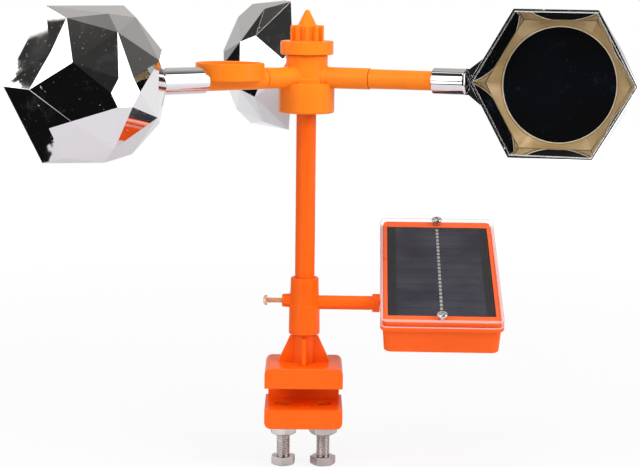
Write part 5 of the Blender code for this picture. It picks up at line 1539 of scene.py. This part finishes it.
class REPELLER_OT_hub(bpy.types.Operator):
    """Models the bearing hub, the ribbed cap and the arms"""

    bl_idname = "repeller.hub"
    bl_label = "Hub, cap and arms"

    def execute(self, context):
        plastic = moulded_plastic("rotor_plastic", context.scene.repeller_rotor.plastic_tint)
        model_hub(plastic)
        model_cap(plastic)
        model_arms(plastic)
        return {"FINISHED"}


class REPELLER_OT_cups(bpy.types.Operator):
    """Models the three faceted cups with their inserts and discs"""

    bl_idname = "repeller.cups"
    bl_label = "Mirror cups"

    def execute(self, context):
        settings = context.scene.repeller_rotor
        chrome = plated_chrome(tuple(settings.chrome_tint))
        tan = satin_insert(settings.insert_tint)
        dark = dark_disc(tuple(settings.disc_tint))
        # A paler tan for the ring round each disc, which is a painted highlight.
        painted_lip_highlight = satin_insert((0.80, 0.71, 0.52))
        for name in ARM_ANGLES:
            model_bowl(name, settings, chrome)
            model_sleeve(name, settings, chrome)
            model_liner(name, settings, chrome)
            model_insert(name, settings, tan)
            model_disc(name, settings, dark)
            model_seat_line(name, settings, painted_lip_highlight)
        return {"FINISHED"}


HIDDEN_FINISHES = {
    ("spindle", "bearing_inner_race", "bearing_outer_race", "bearing_cage"): (
        "ground_steel", (0.62, 0.62, 0.63), 0.20, 1.0),
    ("top_nut", "top_washer"): ("inner_zinc", (0.55, 0.55, 0.54), 0.38, 1.0),
    ("pivot_screw", "pivot_washer"): ("inner_screw_steel", (0.75, 0.75, 0.75), 0.22, 1.0),
    ("top_bush",): ("sintered_bronze", (0.45, 0.28, 0.10), 0.42, 1.0),
    ("battery",): ("battery_foil", (0.55, 0.56, 0.58), 0.40, 0.6),
    ("sounder", "switch_body", "switch_knob"): ("black_nylon", (0.02, 0.02, 0.02), 0.48, 0.0),
}


class REPELLER_OT_inner_pieces(bpy.types.Operator):
    """Finishes the solids that keep their shape: bearing, inner screws and electrics"""

    bl_idname = "repeller.inner_pieces"
    bl_label = "Inner pieces"

    def execute(self, context):
        finishes = {
            nodes: plain_part(*values) for nodes, values in HIDDEN_FINISHES.items()
        }
        finishes[("circuit_board",)] = board_lacquer()
        for nodes, material in finishes.items():
            for node in nodes:
                mesh = frame["nodes"][node].data
                mesh.materials.clear()
                mesh.materials.append(material)
        return {"FINISHED"}


# Stage
FLOOR_GAP = 0.0003
FLOOR_PALE = (0.76, 0.75, 0.77)
FLOOR_MIRRORED = (0.655, 0.635, 0.665)
FLOOR_SIZE = 6.0
TABLE_LEFT = -0.247
TABLE_FRONT = -0.38
KEY_LIGHTS = (
    ("left_softbox", (-1.1, -1.2, 1.1), 1.0, 13.0),
    ("right_softbox", (1.3, -0.9, 1.0), 1.0, 21.0),
    ("top_softbox", (-0.1, -0.5, 1.8), 1.3, 13.0),
)
SOFTBOX_LEVEL = 2.2
EVEN_LEVEL = 0.40
OVERHEAD_AIM = (Matrix.Rotation(math.radians(-15.0), 3, "Z")
                @ Matrix.Rotation(math.radians(-72.0), 3, "X") @ Vector((0.0, -1.0, 0.0)))
LIGHT_AIM = Vector((0.0, 0.0, 0.09))

# The studio in the mirrors, in degrees round from the camera's side and up from the horizon: a
# patch's two bounds and the width of its soft edge, for each way
NEAR_BOX = ((-59.0, -27.0, 1.5), (-16.0, 46.0, 2.0))
SEAM = ((-38.0, -30.5, 0.5), (0.5, 7.5, 0.5))
RIGHT_BOX = ((57.0, 98.0, 4.0), (-16.0, 46.0, 4.0))
LEFT_BOX = (-110.0, -60.0, 1.5)
LEFT_BOX_FOOT = -3.0
LEFT_BOX_SLOPE = 0.311
LEFT_BOX_TOP = 19.3 - 76.5 * LEFT_BOX_SLOPE
LEFT_STRIP = ((-119.0, -60.0, 1.0), (0.0, 14.0, 0.5))
STRIP_SLOPE = 1.61
STRIP_FOOT = 31.0 + 109.9 * STRIP_SLOPE
OVERHEAD_EDGE = (math.cos(math.radians(11.5)), math.cos(math.radians(9.5)))


def put(name, data):
    """Adds an object that holds a lamp or a camera."""
    obj = bpy.data.objects.new(name, data)
    bpy.context.scene.collection.objects.link(obj)
    return obj


def make_camera(settings):
    data = bpy.data.cameras.new("photograph_camera")
    data.sensor_width = 36.0
    data.lens = settings.focal_length
    data.clip_start = 0.01
    data.clip_end = 100.0
    camera = put("photograph_camera", data)
    look = Matrix.Rotation(-settings.camera_yaw, 4, "Z")
    look = look @ Matrix.Rotation(math.pi / 2 - settings.camera_pitch, 4, "X")
    look = look @ Matrix.Rotation(settings.camera_roll, 4, "Z")
    camera.matrix_world = Matrix.Translation(settings.camera_place) @ look
    bpy.context.scene.camera = camera


def reach(wire, low, high, edge):
    """1 between two bounds, fading over an edge outside them."""
    return wire.smooth(low - edge, low) * (1.0 - wire.smooth(high, high + edge))


def patch(around, height, bounds):
    return reach(around, *bounds[0]) * reach(height, *bounds[1])


def make_world():
    """The studio that mirrors show: a pale backdrop, a dark room in front and softboxes."""
    world = bpy.data.worlds.new("studio")
    bpy.context.scene.world = world
    world.use_nodes = True
    world.node_tree.nodes.clear()
    studio = Recipe(world)
    warp = studio.noise(150.0, detail=5.0, roughness=0.6)
    across, deep, up = studio.parts_of(studio.place)
    around = across.math("ARCTAN2", deep * -1.0) * math.degrees(1.0)
    height = up.math("ARCSINE") * math.degrees(1.0)
    ragged = (warp - 0.5) * 2.2
    off_centre = around.size()

    behind = around.smooth(98.0, 158.0) + (1.0 - around.smooth(-136.0, -128.0)) * 0.9
    backdrop = behind * (0.52 + height.below(-0.5) * 0.42) + (
        reach(height, -6.0, 9.0, 14.0) * off_centre.smooth(120.0, 175.0) * 0.10
    )
    room = 0.006 + height.smooth(-6.0, 30.0) * 0.034
    under = 1.0 - height.below(-4.0) * off_centre.below(128.0) * 0.9
    ceiling = height.smooth(66.0, 78.0) * 0.22

    past_top = (height + around * LEFT_BOX_SLOPE - LEFT_BOX_TOP + ragged * 0.6).above(0.0)
    left_box = reach(around, *LEFT_BOX) * height.above(LEFT_BOX_FOOT) * (1.0 - past_top)
    near_box = patch(around, height, NEAR_BOX) * (1.0 - patch(around, height, SEAM))
    over_foot = height - around * STRIP_SLOPE - STRIP_FOOT + ragged * 0.15
    overhead = studio.node(
        "ShaderNodeVectorMath", output="Value", operation="DOT_PRODUCT",
        values=(studio.place, OVERHEAD_AIM),
    ).smooth(*OVERHEAD_EDGE)
    lit = left_box + near_box + patch(around, over_foot, LEFT_STRIP)
    lit = lit + patch(around, height, RIGHT_BOX) + overhead
    level = backdrop * under + room + ceiling + lit * SOFTBOX_LEVEL
    warm = studio.blend(height.smooth(-4.0, 20.0), WHITE, (1.0, 0.965, 0.935))
    reflected, even, white = (
        studio.node("ShaderNodeBackground", values={"Color": colour, "Strength": strength})
        for colour, strength in ((warm, level), (WHITE, EVEN_LEVEL), (WHITE, 1.0))
    )
    straight, glossy = studio.rays()
    light = studio.node("ShaderNodeMixShader", values=(glossy, even, reflected))
    seen = studio.node("ShaderNodeMixShader", values=(straight, light, white))
    studio.node("ShaderNodeOutputWorld", values={"Surface": seen})


def make_floor():
    """A pale table top: white to the camera but for a faint shadow, and as it is lit in mirrors."""
    floor = blank("pale_floor")
    bpy.ops.mesh.primitive_plane_add(
        size=FLOOR_SIZE, location=(0.0, 0.0, CAD_LOW.z - FLOOR_GAP)
    )
    set_down()
    recipe = Recipe("pale_floor")
    straight, glossy = recipe.rays()
    recipe.set(
        Base_Color=recipe.blend(glossy, FLOOR_PALE, FLOOR_MIRRORED), Roughness=0.9,
        Specular_IOR_Level=0.1,
    )
    away = recipe.node(
        "ShaderNodeVectorMath", output="Value", operation="LENGTH", values=(recipe.place,)
    )
    x, y, _ = recipe.parts_of(recipe.place)
    rough_edge = (recipe.noise(60.0, detail=5.0) - 0.5) * 0.03
    past_left, past_front = (
        (line + rough_edge).below(edge) for line, edge in ((x, TABLE_LEFT), (y, TABLE_FRONT))
    )
    seen_white = straight * (away.smooth(0.25, 0.75) * 0.12 + 0.88)
    share = seen_white + glossy * (away.smooth(0.28, 0.60) * 0.75 + 0.08)
    white = recipe.node("ShaderNodeEmission", values={"Color": WHITE, "Strength": 1.0})
    lit = Wire(recipe, recipe.shader.outputs[0])
    table = recipe.node("ShaderNodeMixShader", values=(share, lit, white))
    nothing = recipe.node("ShaderNodeBsdfTransparent")
    past_edge = glossy * past_left.math("MAXIMUM", past_front)
    seen = recipe.node("ShaderNodeMixShader", values=(past_edge, table, nothing))
    recipe.feed(recipe.tree.nodes["Material Output"].inputs["Surface"], seen)
    floor.data.materials.append(recipe.material)


def make_lights():
    for name, place, size, power in KEY_LIGHTS:
        data = bpy.data.lights.new(name, "AREA")
        data.shape = "SQUARE"
        data.size = size
        data.energy = power
        light = put(name, data)
        light.visible_glossy = False
        light.location = place
        light.rotation_euler = (LIGHT_AIM - light.location).to_track_quat("-Z", "Y").to_euler()


class REPELLER_OT_stage(bpy.types.Operator):
    """Sets up the camera, the light, the world and the floor"""

    bl_idname = "repeller.stage"
    bl_label = "Stage"

    def execute(self, context):
        settings = context.scene.repeller_stage
        make_camera(settings)
        make_world()
        make_lights()
        make_floor()
        context.scene.view_settings.view_transform = "Standard"
        return {"FINISHED"}


OPERATORS = (
    REPELLER_OT_clamp,
    REPELLER_OT_bolts,
    REPELLER_OT_tee,
    REPELLER_OT_solar_box,
    REPELLER_OT_hub,
    REPELLER_OT_cups,
    REPELLER_OT_inner_pieces,
    REPELLER_OT_stage,
)
SETTINGS = {
    "repeller_rotor": RepellerRotorSettings,
    "repeller_stand": RepellerStandSettings,
    "repeller_box": RepellerBoxSettings,
    "repeller_stage": RepellerStageSettings,
}


class REPELLER_PT_pieces(bpy.types.Panel):
    """Lists the repeller's pieces and their settings"""

    bl_idname = "REPELLER_PT_pieces"
    bl_label = "Solar bird repeller"
    bl_space_type = "VIEW_3D"
    bl_region_type = "UI"
    bl_category = "Repeller"

    def draw(self, context):
        for operator in OPERATORS:
            self.layout.operator(operator.bl_idname)
        for name, group in SETTINGS.items():
            column = self.layout.column(align=True)
            for key in group.__annotations__:
                column.prop(getattr(context.scene, name), key)


def register():
    for group in SETTINGS.values():
        bpy.utils.register_class(group)
    for name, group in SETTINGS.items():
        setattr(bpy.types.Scene, name, PointerProperty(type=group))
    for operator in OPERATORS:
        bpy.utils.register_class(operator)
    bpy.utils.register_class(REPELLER_PT_pieces)


def unregister():
    bpy.utils.unregister_class(REPELLER_PT_pieces)
    for operator in reversed(OPERATORS):
        bpy.utils.unregister_class(operator)
    for name, group in SETTINGS.items():
        delattr(bpy.types.Scene, name)
        bpy.utils.unregister_class(group)


def main():
    register()
    bpy.ops.repeller.clamp()
    bpy.ops.repeller.bolts()
    bpy.ops.repeller.tee()
    bpy.ops.repeller.solar_box()
    bpy.ops.repeller.hub()
    bpy.ops.repeller.cups()
    bpy.ops.repeller.inner_pieces()
    bpy.ops.repeller.stage()


if __name__ == "__main__":
    main()
